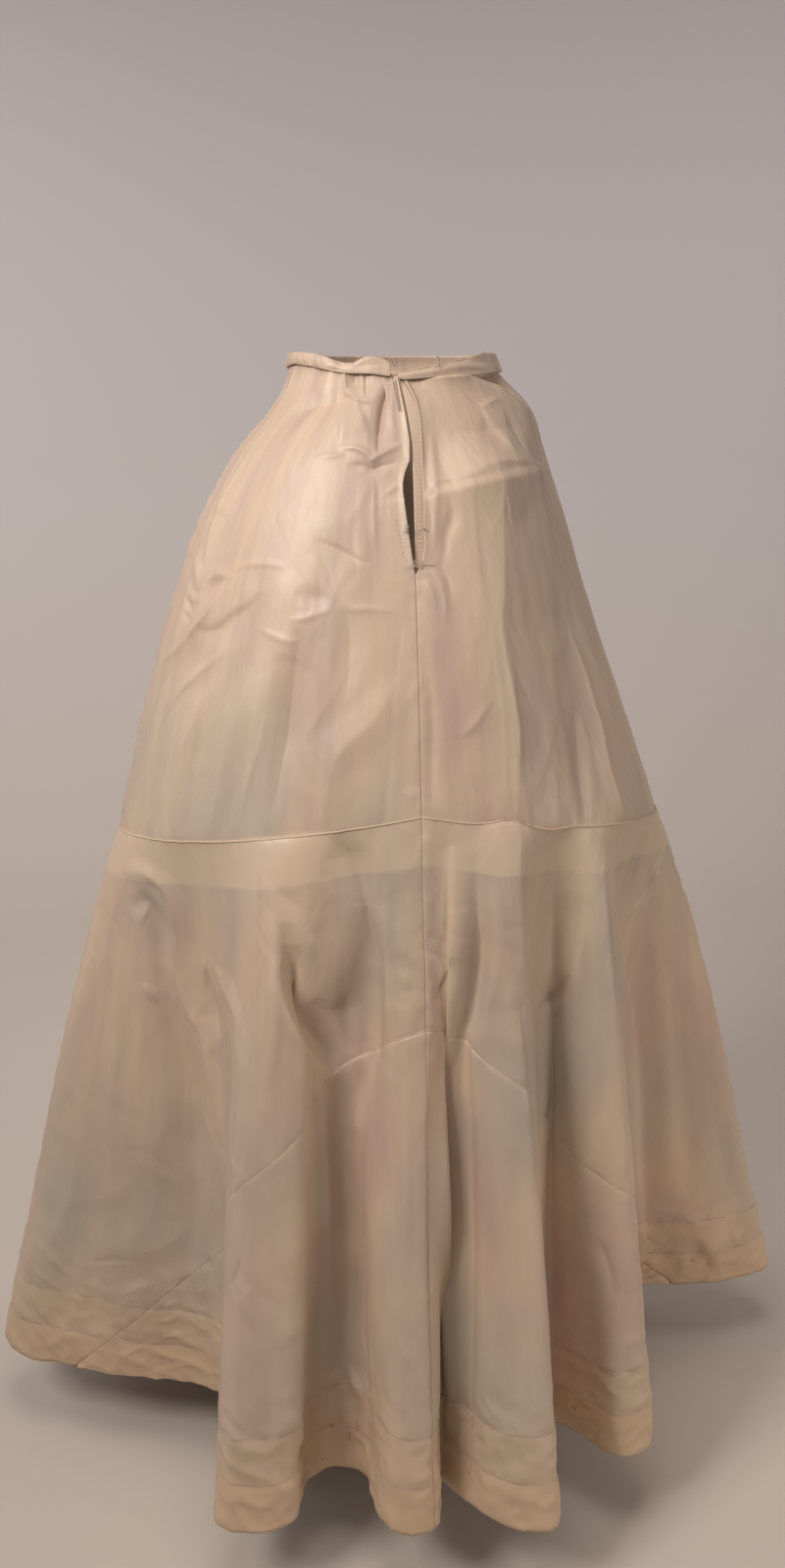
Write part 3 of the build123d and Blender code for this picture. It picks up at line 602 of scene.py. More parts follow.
def stroke_paths(strokes):
    """Strokes in metres on the opened cloth."""
    return [(kind, height / 1000, width / 1000, smooth_path(on_cloth(path))) for kind, height, width, path in strokes]


YOKE_PATHS = stroke_paths(YOKE_STROKES)
FLOUNCE_PATHS = stroke_paths(FLOUNCE_STROKES)
LONG_PATHS = stroke_paths(LONG_STROKES)
BAND_PATHS = stroke_paths(BAND_STROKES)

# Crumple: height, lean and width of its patches round, lean and length of its patches down, and seed.
CRUMPLES = ((0.0026, 0.0, 0.040, 0.0, 0.17, 11), (0.0013, 0.6, 0.042, -0.4, 0.08, 17),
            (-0.0008, -0.7, 0.022, 0.5, 0.045, 19))
HEM_CRUMPLES = ((0.0030, 0.4, 0.034, -0.3, 0.026, 47), (0.0020, -0.5, 0.018, 0.4, 0.015, 53))
CRUMPLE_LEVEL = 0.3
# Puckers of a seam: height, width, length, the distance by which they fade, and seed.
CENTRE_PUCKER = (0.0007, 0.008, 0.011, 0.012, 23)
SIDE_PUCKER = (0.0018, 0.020, 0.012, 0.018, 29)
CHEVRON_PUCKER = (0.0016, 0.008, 0.030, 0.014, 31)
YOKE_PUCKER = (0.0006, 0.010, 0.030, 0.012, 37)
HEM_PUCKER = (0.0020, 0.010, 0.020, 0.011)
HEM_ROWS = ((HEM_FACING, 41), (HEM_TURNING, 43))
GROOVE_DEPTH, GROOVE_WIDTH = 0.0006, 0.0020
HEM_GROOVE_DEPTH, HEM_GROOVE_WIDTH = 0.0007, 0.0030
YOKE_FADE, FLOUNCE_FADE, FRONT_FADE_SHARE = 0.010, 0.025, 0.04


def crumple(terms, first, second, drop):
    """Crisp crumple: each term's height times a level less the size of its noise, which folds the noise
    to creases, along directions that lean by shares of the drop and of the length round."""
    return sum(height * (CRUMPLE_LEVEL - np.abs(soft_noise((first + lean * drop) / width,
                                                           (drop + slant * second) / length, seed)))
               for height, lean, width, slant, length, seed in terms)


def pucker(places, away, height, width, length, fade, seed):
    """Puckers of a seam: noise of their size on the cloth, dying away with the distance from the seam."""
    return height * soft_noise(places[..., 0] / width, places[..., 1] / length, seed) * np.exp(-away / fade)


def relief(around, down, paths=None):
    """Relief of the cloth in metres: the strokes of the yoke above its seam and of the flounce below,
    crumple that fades at the centre front, puckers beside each seam, and the seams' grooves. Where paths
    are given, they are all of it."""
    places = cloth_place(around, down)
    if paths is not None:
        return sum(stroke_relief(places, *path) for path in paths)
    s, h = places[..., 0], places[..., 1]
    signed = signed_share(around)
    fall = signed * SEAM_LENGTH
    front = np.clip((0.5 - np.abs(signed)) / FRONT_FADE_SHARE, 0, 1)
    below = h - seam_drop(around)
    total = sum(stroke_relief(places, *path) for path in LONG_PATHS)
    for strokes, share in ((YOKE_PATHS, np.clip(-below / YOKE_FADE, 0, 1)),
                           (FLOUNCE_PATHS, np.clip(below / FLOUNCE_FADE, 0, 1))):
        if share.any():
            total += share * sum(stroke_relief(places, *path) for path in strokes)
    # Patches of 70 by 120 mm bend the crumple's lines by 30 mm, patches of 100 by 160 mm slacken it,
    # and the yoke is calmer than the flounce.
    bent = fall + 0.03 * soft_noise(fall / 0.07, h / 0.12, 3)
    slack = 0.25 + 0.75 * np.clip(soft_noise(fall / 0.10, h / 0.16, 5) + 0.35, 0, 1)
    slack = slack * front * (0.55 + 0.45 * np.clip(below / 0.05, 0, 1))
    total += slack * crumple(CRUMPLES, bent, fall, h)
    open_seam = np.clip((h - PLACKET_DEPTH) / 0.004, 0, 1)
    in_gore = (signed > -CHEVRON_LEFT_SHARE) & (signed < CHEVRON_RIGHT_SHARE)
    to_centre, to_side = np.abs(s), np.abs(np.abs(signed) - SIDE_SHARE) * SEAM_LENGTH
    to_chevron = np.abs(down - chevron(around)) * (HEM_DROP - YOKE_BACK_DROP)
    total += open_seam * pucker(places, to_centre, *CENTRE_PUCKER) + pucker(places, to_side, *SIDE_PUCKER)
    total += in_gore * pucker(places, to_chevron, *CHEVRON_PUCKER)
    total += front * pucker(places, np.abs(below), *YOKE_PUCKER)
    total -= GROOVE_DEPTH * open_seam * np.exp(-to_centre / GROOVE_WIDTH)
    total -= GROOVE_DEPTH * in_gore * np.exp(-to_chevron / GROOVE_WIDTH)
    above_hem = HEM_DROP - h
    total += front * np.clip(1.7 - above_hem / HEM_FACING, 0, 1) * crumple(HEM_CRUMPLES, s, s, h)
    for line, seed in HEM_ROWS:
        away = np.abs(above_hem - line)
        pull = 0.4 + 0.6 * np.clip(soft_noise(s / 0.06, 0 * h, seed + 20) + 0.4, 0, 1)
        total += front * pull * pucker(places, away, *HEM_PUCKER, seed)
        total -= HEM_GROOVE_DEPTH * np.exp(-(away / HEM_GROOVE_WIDTH) ** 2)
    return total


def lining(around, down):
    """How far a second layer shows through, from 0 to 1: first the yoke's turning below its seam and the
    turning of the centre back seam, with pinked edges, then the facing and turning at the hem. Each is a
    clipped ramp of 2 or 3 mm over the distance from its edge."""
    places = cloth_place(around, down)
    s, h = places[..., 0], places[..., 1]
    below = h - seam_drop(around)
    pinked = PINK_DEPTH * np.abs(np.mod(s / PINK_PITCH, 1) - 0.5)
    yoke = 0.75 * (below > 0) * np.clip((YOKE_LAP + pinked - below) / 0.003, 0, 1)
    turning = CENTRE_ALLOWANCE * (h - PLACKET_DEPTH) / (YOKE_BACK_DROP - PLACKET_DEPTH) + pinked
    centre = 0.5 * np.clip((turning + s) / 0.002, 0, 1) * (s < 0) * (h > PLACKET_DEPTH)
    above_hem = HEM_DROP - h
    faced = np.clip((HEM_FACING - above_hem) / 0.002, 0, 1)
    hem = faced * (0.5 + 0.4 * np.clip((HEM_TURNING - above_hem) / 0.002, 0, 1))
    return np.maximum(yoke, centre * (below < 0)), hem


def to_object(points):
    """Object point of right, back, height: the wearer's right is minus X."""
    return points * np.array((-1.0, 1.0, 1.0))


def cloth_mesh(name, points, places, layers, turned, material, thickness=CLOTH):
    """Mesh of a grid of points: a quad between each two rows and columns, walled inwards."""
    rows, columns = points.shape[:2]
    index = np.arange(rows * columns).reshape(rows, columns)
    quads = np.stack([index[:-1, :-1], index[:-1, 1:], index[1:, 1:], index[1:, :-1]], -1).reshape(-1, 4)
    mesh = bpy.data.meshes.new(name)
    mesh.vertices.add(rows * columns)
    mesh.vertices.foreach_set("co", np.ascontiguousarray(points, np.float32).ravel())
    mesh.loops.add(quads.size)
    mesh.loops.foreach_set("vertex_index", quads.ravel().astype(np.int32))
    mesh.polygons.add(len(quads))
    mesh.polygons.foreach_set("loop_start", np.arange(0, quads.size, 4, dtype=np.int32))
    mesh.update(calc_edges=True)
    mesh.shade_smooth()
    for title, kind, field, values in (("cloth", "FLOAT_VECTOR", "vector", places),
                                       ("lining", "FLOAT", "value", layers), ("turned", "FLOAT", "value", turned)):
        mesh.attributes.new(title, kind, "POINT").data.foreach_set(field, values.astype(np.float32).ravel())
    mesh.materials.append(material)
    piece = bpy.data.objects.new(name, mesh)
    bpy.context.scene.collection.objects.link(piece)
    if thickness:
        wall = piece.modifiers.new("wall", "SOLIDIFY")
        wall.thickness = thickness
        wall.offset = -1
    return piece


def panel(name, around, top, bottom, layer, step, material, paths=None, placket=None, thickness=CLOTH, roll=0.0,
          spread=YOKE_SPREAD):
    """Panel of the skirt between two shares round and two edges down: the skirt surface moved along
    its normal by the relief, rounded by a roll across its rows, and set inwards by its layer. A placket's
    edge moves the cloth to its right by the table, less by the power of the distance away, and rolls."""
    count = max(int(abs(around[1] - around[0]) * SEAM_LENGTH * spread / step), 6)
    rounds = np.linspace(around[0], around[1], count)
    upper, lower = (np.broadcast_to(edge(rounds) if callable(edge) else edge, rounds.shape) for edge in (top, bottom))
    drop = np.max(np.abs(cloth_place(rounds, lower)[:, 1] - cloth_place(rounds, upper)[:, 1]))
    share = np.linspace(0, 1, max(int(drop / step), 10))[:, None] ** (PLACKET_ROW_BEND if placket else 1)
    down = upper + (lower - upper) * share
    rounds = np.broadcast_to(rounds, down.shape)
    points = skirt_surface(rounds, down)
    height = relief(rounds, down, paths) + roll * np.sin(np.pi * share) - layer * LAYER_STEP
    if placket:
        away = np.abs(signed_share(rounds)) * WAIST_LENGTH * PLACKET_LENGTH_GROWTH
        depth = -points[..., 2]
        points[..., 0] += np.interp(depth, *np.transpose(placket)) * np.exp(-away / PLACKET_DRAW)
        rolled = np.exp(-(away / PLACKET_ROLL_WIDTH) ** 2) * (depth < PLACKET_DEPTH - PLACKET_END)
        height = height + PLACKET_ROLL * rolled
    points = points + outward(rounds, down) * height[..., None]
    layers, turned = lining(rounds, down)
    return cloth_mesh(name, to_object(points), cloth_marks(rounds, down), layers, turned, material, thickness)


def placket_strip(name, left, right, layer, material):
    """Strip behind a placket edge: across from one edge table to the other, with fine cross ribs."""
    depth = np.linspace(0.004, PLACKET_DEPTH, 150)[:, None]
    share = np.linspace(0, 1, 12)[None, :]
    across = left(depth) * (1 - share) + right(depth) * share
    down = np.broadcast_to(depth / YOKE_BACK_DROP, across.shape)
    zero = np.zeros(across.shape)
    points = skirt_surface(zero, down)
    points[..., 0] += across
    ribs = STRIP_RIB_HEIGHT * np.sin(2 * np.pi * depth / STRIP_RIB_PITCH) * np.sin(np.pi * share)
    points = points + outward(zero, down) * (ribs - layer * LAYER_STEP)[..., None]
    places = np.stack([across, down * YOKE_BACK_DROP, across], -1)
    return cloth_mesh(name, to_object(points), places, zero, zero, material)


def tubes(name, paths, radius, material, sides=8):
    """Round tubes along several paths of as many points: a circle square to each path's run, closed
    over the path's ends by drawing its last rings in."""
    run = np.gradient(paths, axis=1)
    run /= np.linalg.norm(run, axis=-1, keepdims=True)
    mean = np.cross(paths - paths.mean(1, keepdims=True), run).sum(1, keepdims=True)
    mean = mean + 1e-9 * np.array((1.0, 2.0, 3.0))
    mean = np.broadcast_to(mean / np.linalg.norm(mean, axis=-1, keepdims=True), paths.shape)
    first = np.cross(run, mean)
    first /= np.maximum(np.linalg.norm(first, axis=-1, keepdims=True), 1e-9)
    second = np.cross(run, first)
    turn = np.linspace(0, 2 * np.pi, sides, endpoint=False)
    order = np.arange(paths.shape[1])
    girth = radius * np.clip(np.minimum(order, order[::-1]) + 0.05, 0, 1)
    rings = paths[:, :, None] + girth[None, :, None, None] * (
        first[:, :, None] * np.cos(turn)[:, None] + second[:, :, None] * np.sin(turn)[:, None])
    batch, count = rings.shape[:2]
    index = np.arange(batch * count * sides).reshape(batch, count, sides)
    near, far = index[:, :-1], index[:, 1:]
    quads = np.stack([near, np.roll(near, -1, 2), np.roll(far, -1, 2), far], -1).reshape(-1, 4)
    mesh = bpy.data.meshes.new(name)
    mesh.from_pydata(rings.reshape(-1, 3), [], quads)
    mesh.shade_smooth()
    mesh.materials.append(material)
    piece = bpy.data.objects.new(name, mesh)
    bpy.context.scene.collection.objects.link(piece)
    return piece


def node(tree, kind, sockets=None, **settings):
    """Adds one node, sets its settings, and links or sets its sockets."""
    made = tree.nodes.new(kind)
    for key, value in settings.items():
        setattr(made, key, value)
    for key, value in (sockets or {}).items():
        if isinstance(value, bpy.types.NodeSocket):
            tree.links.new(value, made.inputs[key])
        else:
            made.inputs[key].default_value = value
    return made


def bare_material(name):
    """Material of that name with an empty node tree, and the tree."""
    made = bpy.data.materials.new(name)
    made.use_nodes = True
    made.node_tree.nodes.clear()
    return made, made.node_tree


RGBA = {"data_type": "RGBA"}


def taffeta_material():
    """Silk taffeta, plain-woven with a fine crosswise rib: pale peach, with a soft broad sheen, hazy
    greyer and rosier patches that are partly random tone and partly painted sheen, and warmer where a second layer lies
    behind."""
    made, tree = bare_material("silk_taffeta")
    cloth = node(tree, "ShaderNodeAttribute", attribute_name="cloth").outputs["Vector"]
    layers = node(tree, "ShaderNodeAttribute", attribute_name="lining").outputs["Fac"]
    turned = node(tree, "ShaderNodeAttribute", attribute_name="turned").outputs["Fac"]
    # Rosy patches about 42 mm wide and 200 mm long, and grey ones of 77 by 250 mm that show below the
    # hips, along the warp: partly random tone, partly painted sheen. The grey grows with the drop, so the cloth is
    # painted greyer and darker towards the hem.
    long_place = node(tree, "ShaderNodeMapping", {"Vector": cloth, "Scale": (0, 5, 24)}).outputs["Vector"]
    rosy = node(tree, "ShaderNodeTexNoise", {"Vector": long_place, "Scale": 1.0, "Detail": 3.0}).outputs["Fac"]
    wide_place = node(tree, "ShaderNodeMapping", {
        "Vector": cloth, "Scale": (0, 4, 13), "Location": (0, 3, 7)}).outputs["Vector"]
    grey = node(tree, "ShaderNodeTexNoise", {"Vector": wide_place, "Scale": 1.0, "Detail": 2.0}).outputs["Fac"]
    rosy = node(tree, "ShaderNodeMapRange", {"Value": rosy, "From Min": 0.42, "From Max": 0.66}).outputs["Result"]
    grey = node(tree, "ShaderNodeMapRange", {"Value": grey, "From Min": 0.45, "From Max": 0.68}).outputs["Result"]
    drop = node(tree, "ShaderNodeSeparateXYZ", {"Vector": cloth}).outputs["Y"]
    greyer = node(tree, "ShaderNodeMapRange", {
        "Value": drop, "From Min": 0.20, "From Max": 0.48, "To Min": 0.15}).outputs["Result"]
    grey = node(tree, "ShaderNodeMath", {0: grey, 1: greyer}, operation="MULTIPLY").outputs["Value"]
    # Streaks of warp bands, from about 17 mm down to 1 mm wide.
    band_place = node(tree, "ShaderNodeMapping", {
        "Vector": cloth, "Scale": (0, 5, 60), "Rotation": (0.02, 0, 0)}).outputs["Vector"]
    bands = node(tree, "ShaderNodeTexNoise", {
        "Vector": band_place, "Scale": 1.0, "Detail": 5.0, "Roughness": 0.65}).outputs["Fac"]
    bands = node(tree, "ShaderNodeMapRange", {"Value": bands, "From Min": 0.35, "From Max": 0.65}).outputs["Result"]
    peach = node(tree, "ShaderNodeMix", {"Factor": rosy, 6: srgb("#ceb8a3"), 7: srgb("#c2aa9c")}, **RGBA).outputs[2]
    # Painted sheen and random tone: the rosy and grey patches mixed into the peach, greyer and darker towards the hem.
    patched_tone_and_sheen = node(tree, "ShaderNodeMix", {"Factor": grey, 6: peach, 7: srgb("#b8ac9d")}, **RGBA).outputs[2]
    drawn = node(tree, "ShaderNodeMix", {"Factor": bands, 6: srgb("#f5f1ef"), 7: srgb("#fffdf9")}, **RGBA).outputs[2]
    warped = node(tree, "ShaderNodeMix", {"Factor": 1.0, 6: patched_tone_and_sheen, 7: drawn}, blend_type="MULTIPLY", **RGBA).outputs[2]
    lined = node(tree, "ShaderNodeMix", {"Factor": layers, 6: warped, 7: srgb("#d2bba3")}, **RGBA).outputs[2]
    faced = node(tree, "ShaderNodeMix", {"Factor": turned, 6: lined, 7: srgb("#c4a98d")}, **RGBA).outputs[2]
    # The two rows of hem stitching draw the cloth in to grooves, whose painted shadow is a dark line about 1.4 mm wide.
    rows = []
    for line in (HEM_FACING, HEM_TURNING):
        away = node(tree, "ShaderNodeMath", {0: drop, 1: HEM_DROP - line}, operation="SUBTRACT").outputs["Value"]
        away = node(tree, "ShaderNodeMath", {0: away}, operation="ABSOLUTE").outputs["Value"]
        rows.append(node(tree, "ShaderNodeMapRange", {
            "Value": away, "From Min": 0.0012, "From Max": 0.0002}).outputs["Result"])
    painted_stitch_shadow = node(tree, "ShaderNodeMath", {0: rows[0], 1: rows[1]}, operation="MAXIMUM").outputs["Value"]
    broken_place = node(tree, "ShaderNodeMapping", {"Vector": cloth, "Scale": (60, 60, 0)}).outputs["Vector"]
    broken = node(tree, "ShaderNodeTexNoise", {"Vector": broken_place, "Scale": 1.0, "Detail": 2.0}).outputs["Fac"]
    broken = node(tree, "ShaderNodeMapRange", {
        "Value": broken, "From Min": 0.35, "From Max": 0.65, "To Max": 0.6}).outputs["Result"]
    painted_stitch_shadow = node(tree, "ShaderNodeMath", {0: painted_stitch_shadow, 1: broken}, operation="MULTIPLY").outputs["Value"]
    # Painted shadow of the stitch grooves: the colour darkens to brown along the two rows, broken by noise.
    colour = node(tree, "ShaderNodeMix", {"Factor": painted_stitch_shadow, 6: faced, 7: srgb("#8d7258")}, **RGBA).outputs[2]
    # Ribs lie 0.4 mm apart in the cloth; they are drawn 1 mm apart so that they show.
    rib_place = node(tree, "ShaderNodeMapping", {"Vector": cloth, "Scale": (250, 1000, 0)}).outputs["Vector"]
    ribs = node(tree, "ShaderNodeTexNoise", {"Vector": rib_place, "Scale": 1.0, "Detail": 1.0}).outputs["Fac"]
    crisp_place = node(tree, "ShaderNodeMapping", {"Vector": cloth, "Scale": (70, 22, 0)}).outputs["Vector"]
    crisp = node(tree, "ShaderNodeTexNoise", {"Vector": crisp_place, "Scale": 1.0, "Detail": 4.0}).outputs["Fac"]
    weave = node(tree, "ShaderNodeBump", {"Height": ribs, "Strength": 0.12, "Distance": 0.0004}).outputs["Normal"]
    # Crinkles 14 mm wide and 45 mm long, too shallow for the mesh.
    crinkle = node(tree, "ShaderNodeBump", {
        "Height": crisp, "Normal": weave, "Strength": 0.19, "Distance": 0.004}).outputs["Normal"]
    gloss = node(tree, "ShaderNodeMapRange", {"Value": crisp, "To Min": 0.36, "To Max": 0.50}).outputs["Result"]
    shader = node(tree, "ShaderNodeBsdfPrincipled", {
        "Base Color": colour, "Roughness": gloss, "Normal": crinkle, "Specular IOR Level": 0.42, "IOR": 1.54,
        "Sheen Weight": 0.10, "Sheen Roughness": 0.4, "Sheen Tint": srgb("#f2e2cc")})
    node(tree, "ShaderNodeOutputMaterial", {"Surface": shader.outputs["BSDF"]})
    return made


def edge_material():
    """Silk taffeta folded over a seam: the rubbed edge of the cloth, paler, with fibres 2 mm long."""
    made, tree = bare_material("silk_taffeta_edge")
    place = node(tree, "ShaderNodeTexCoord").outputs["Object"]
    rubbed = node(tree, "ShaderNodeTexNoise", {"Vector": place, "Scale": 450.0, "Detail": 2.0}).outputs["Fac"]
    colour = node(tree, "ShaderNodeMix", {"Factor": rubbed, 6: srgb("#b89d83"), 7: srgb("#d9c4ad")}, **RGBA).outputs[2]
    shader = node(tree, "ShaderNodeBsdfPrincipled", {"Base Color": colour, "Roughness": 0.5, "Specular IOR Level": 0.4})
    node(tree, "ShaderNodeOutputMaterial", {"Surface": shader.outputs["BSDF"]})
    return made


def facing_material():
    """Cotton-backed facing, plain-woven and calendered: tan, matt, with slubs about 6 mm long."""
    made, tree = bare_material("cotton_facing")
    cloth = node(tree, "ShaderNodeAttribute", attribute_name="cloth").outputs["Vector"]
    slub_place = node(tree, "ShaderNodeMapping", {"Vector": cloth, "Scale": (160, 700, 0)}).outputs["Vector"]
    slubs = node(tree, "ShaderNodeTexNoise", {"Vector": slub_place, "Scale": 1.0, "Detail": 2.0}).outputs["Fac"]
    colour = node(tree, "ShaderNodeMix", {"Factor": slubs, 6: srgb("#a58a6e"), 7: srgb("#c0a688")}, **RGBA).outputs[2]
    bump = node(tree, "ShaderNodeBump", {"Height": slubs, "Strength": 0.3, "Distance": 0.0004}).outputs["Normal"]
    shader = node(tree, "ShaderNodeBsdfPrincipled", {
        "Base Color": colour, "Roughness": 0.85, "Normal": bump, "Specular IOR Level": 0.25})
    node(tree, "ShaderNodeOutputMaterial", {"Surface": shader.outputs["BSDF"]})
    return made


def wire_material():
    """Dulled steel wire, drawn and lacquered, worn: dark grey-brown with brighter rubbed spots of 1 mm."""
    made, tree = bare_material("dulled_steel_wire")
    place = node(tree, "ShaderNodeTexCoord").outputs["Object"]
    worn = node(tree, "ShaderNodeTexNoise", {"Vector": place, "Scale": 1000.0, "Detail": 2.0}).outputs["Fac"]
    colour = node(tree, "ShaderNodeMix", {"Factor": worn, 6: srgb("#7c7067"), 7: srgb("#cbbfb2")}, **RGBA).outputs[2]
    rough = node(tree, "ShaderNodeMapRange", {"Value": worn, "To Min": 0.55, "To Max": 0.3}).outputs["Result"]
    shader = node(tree, "ShaderNodeBsdfPrincipled", {"Base Color": colour, "Roughness": rough, "Metallic": 0.85})
    node(tree, "ShaderNodeOutputMaterial", {"Surface": shader.outputs["BSDF"]})
    return made


def thread_material(name, dark, light):
    """Silk sewing thread, twisted: a soft shine, with light and dark plies 1 mm long."""
    made, tree = bare_material(name)
    place = node(tree, "ShaderNodeTexCoord").outputs["Object"]
    plies = node(tree, "ShaderNodeTexNoise", {"Vector": place, "Scale": 900.0, "Detail": 1.0}).outputs["Fac"]
    colour = node(tree, "ShaderNodeMix", {"Factor": plies, 6: srgb(dark), 7: srgb(light)}, **RGBA).outputs[2]
    shader = node(tree, "ShaderNodeBsdfPrincipled", {"Base Color": colour, "Roughness": 0.55, "Sheen Weight": 0.2})
    node(tree, "ShaderNodeOutputMaterial", {"Surface": shader.outputs["BSDF"]})
    return made


TAFFETA = taffeta_material()
TAFFETA_EDGE = edge_material()
FACING = facing_material()
WIRE = wire_material()
THREAD = thread_material("silk_thread", "#b3967a", "#d8bfa4")
GREY_THREAD = thread_material("grey_silk_thread", "#756a61", "#988b80")


def hem_top(around, height=HEM_FACING):
    """Share down of a line at a height above the hem: the facing's upper edge, or another."""
    return 2 - height / (HEM_DROP - seam_drop(around))


def lap_end(around):
    """Share down of the lower edge of the yoke's turning behind the flounce."""
    return 1 + YOKE_LAP / (HEM_DROP - seam_drop(around))


def placket_edge(table, shift=0.0):
    """Distance of a placket edge from the centre back by depth: straight between the table's places."""
    return lambda depth: np.interp(depth, *np.transpose(table)) + shift


BACK_RIGHT, BACK_LEFT, FRONT = (0, SIDE_SHARE), (-SIDE_SHARE, 0), (SIDE_SHARE, 1 - SIDE_SHARE)
GORE_RIGHT, GORE_LEFT = (0, CHEVRON_RIGHT_SHARE * GORE_SHARE), (-CHEVRON_LEFT_SHARE * GORE_SHARE, 0)
yoke_top = edge_from(YOKE_TOP_PIXELS, 0.0)
band_top = edge_from(BAND_TOP_PIXELS, -BAND_HEIGHT)
band_foot = edge_from(BAND_FOOT_PIXELS, 0.001)
# Each panel: shares round, upper and lower edge, layer, step, material, and what else shapes it.
PANELS = {
    "waistband": (BAND_SHARES, band_top, band_foot, BAND_LAYER, BAND_STEP, TAFFETA,
                  {"paths": BAND_PATHS, "thickness": BAND_CLOTH, "roll": BAND_ROLL}),
    "yoke_back_right": (BACK_RIGHT, yoke_top, lap_end, YOKE_LAYER, YOKE_STEP, TAFFETA, {"placket": PLACKET_RIGHT_EDGE}),
    "yoke_back_left": (BACK_LEFT, yoke_top, lap_end, YOKE_LAYER, YOKE_STEP, TAFFETA, {"placket": PLACKET_LEFT_EDGE}),
    "yoke_front": (FRONT, yoke_top, lap_end, YOKE_LAYER, FRONT_STEP, TAFFETA, {}),
    "flounce_back_right": (BACK_RIGHT, 1, chevron, FLOUNCE_LAYER, FLOUNCE_STEP, TAFFETA, {"spread": FLOUNCE_SPREAD}),
    "flounce_back_left": (BACK_LEFT, 1, chevron, FLOUNCE_LAYER, FLOUNCE_STEP, TAFFETA, {"spread": FLOUNCE_SPREAD}),
    "flounce_front": (FRONT, 1, 2, FLOUNCE_LAYER, FRONT_STEP, TAFFETA, {}),
    "train_gore_right": (GORE_RIGHT, chevron, 2, FLOUNCE_LAYER, FLOUNCE_STEP, TAFFETA, {"spread": GORE_SPREAD}),
    "train_gore_left": (GORE_LEFT, chevron, 2, FLOUNCE_LAYER, FLOUNCE_STEP, TAFFETA, {"spread": GORE_SPREAD}),
    "hem_facing_right": (BACK_RIGHT, hem_top, 2, FACING_LAYER, FACING_STEP, FACING, {}),
    "hem_facing_left": (BACK_LEFT, hem_top, 2, FACING_LAYER, FACING_STEP, FACING, {}),
    "hem_facing_front": (FRONT, hem_top, 2, FACING_LAYER, FRONT_STEP, FACING, {}),
}
# Each strip behind the placket: its two edges, which lie off the tables by a few millimetres.
STRIPS = {
    "placket_facing_right": (placket_edge(PLACKET_STRIP_EDGE), placket_edge(PLACKET_RIGHT_EDGE, 0.004)),
    "placket_facing_left": (placket_edge(PLACKET_LEFT_EDGE, -PLACKET_STRIP), placket_edge(PLACKET_LEFT_EDGE, -0.0005)),
}
pieces = {name: panel(name + "_cloth", *row, **more) for name, (*row, more) in PANELS.items()}
for name, edges in STRIPS.items():
    pieces[name] = placket_strip(name + "_cloth", *edges, STRIP_LAYER, TAFFETA)
# Each sheet hangs from the root, and the part it stands for is hidden.
for name, piece in pieces.items():
    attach(piece, "root")
    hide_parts(name)


def wire_loop(centre, width, height, legs):
    """Loop of wire in its own plane: an upright half ring on two legs that turn out at their feet."""
    turn = np.linspace(0, np.pi, 15)
    ring = np.stack([np.cos(turn) * width / 2, np.sin(turn) * width / 2 + height - width / 2], 1)
    foot = np.array(((width / 2 + legs, 0.0), (width / 2 + legs * 0.4, 0.0003), (width / 2, 0.0012)))
    outline = np.concatenate([foot, ring, foot[::-1] * np.array((-1, 1))])
    out = np.zeros(len(outline))
    return np.stack([outline[:, 0], out, outline[:, 1]], 1) + centre


def on_yoke(pixels):
    """Shares round and down of photo pixels on the back of the yoke: its cloth places over the length
    round at that depth, and over the drop."""
    length, drop = on_cloth(pixels).T
    around = length / (WAIST_LENGTH + (SEAM_LENGTH - WAIST_LENGTH) * np.clip(drop / YOKE_BACK_DROP, 0, 1))
    return around, drop / seam_drop(around)


def lifted(around, down, lift):
    """Right, back and height on the skirt with its relief, lifted off the cloth along the normal."""
    return skirt_surface(around, down) + outward(around, down) * (relief(around, down) + lift)[..., None]


def on_back(pixel, lift):
    """Right, back and height of a photo pixel on the back of the skirt, lifted off the cloth."""
    return lifted(*on_yoke((pixel,)), lift)[0]


def spun(path, degrees):
    """Path turned about its middle in the plane of the back."""
    turn = np.radians(degrees)
    middle = path.mean(0)
    x, z = (path - middle)[:, 0], (path - middle)[:, 2]
    return np.stack([x * np.cos(turn) - z * np.sin(turn), 0 * x, x * np.sin(turn) + z * np.cos(turn)], 1) + (
        middle * np.array((1, 0, 1)) + np.array((0, 1, 0)) * path[:, 1:2])


WIRE_RADIUS = 0.00045
wires = {
    "waist_hook": spun(wire_loop(on_back((403, 378), 0.0065), 0.0042, 0.0090, 0.0016), 200),
    "waist_eye": wire_loop(on_back((444, 376), 0.0062), 0.0042, 0.0105, 0.0016),
    "placket_eye": spun(wire_loop(on_back((414, 545), 0.0034), 0.0038, 0.0080, 0.0014), -20),
    "placket_bar": spun(wire_loop(on_back((430, 544), 0.0025), 0.0052, 0.0034, 0.0012), 12),
}
for name, path in wires.items():
    piece = tubes(name + "_wire", to_object(path)[None], WIRE_RADIUS, WIRE)
    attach(piece, "root")
    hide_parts(name)


def on_skirt(around, down, lift):
    """Object points on the skirt, lifted off it along the normal, with the folds of its relief."""
    return to_object(lifted(around, down, lift))


def threads(name, paths, radius, material, sides=5):
    """Threads or cords along several paths, in the material given, hung from the root."""
    piece = tubes(name, np.asarray(paths), radius, material, sides)
    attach(piece, "root")


def seam_line(name, around, down, lift, radius):
    """Corded edge of a seam: a thin tube along a line on the skirt."""
    threads(name, on_skirt(around, down, lift)[None], radius, TAFFETA_EDGE, 6)


def stitch_row(name, around, down, length, gap, lift, radius):
    """Row of stitches along a line on the skirt: short tubes cut from it at even lengths."""
    line = on_skirt(around, down, lift)
    run = running_length(line)
    starts = np.arange(0, run[-1] - length, length + gap)
    places = starts[:, None] + length * np.linspace(0, 1, 4)[None]
    paths = np.stack([np.interp(places, run, line[:, k]) for k in range(3)], -1)
    threads(name, paths, radius, THREAD)


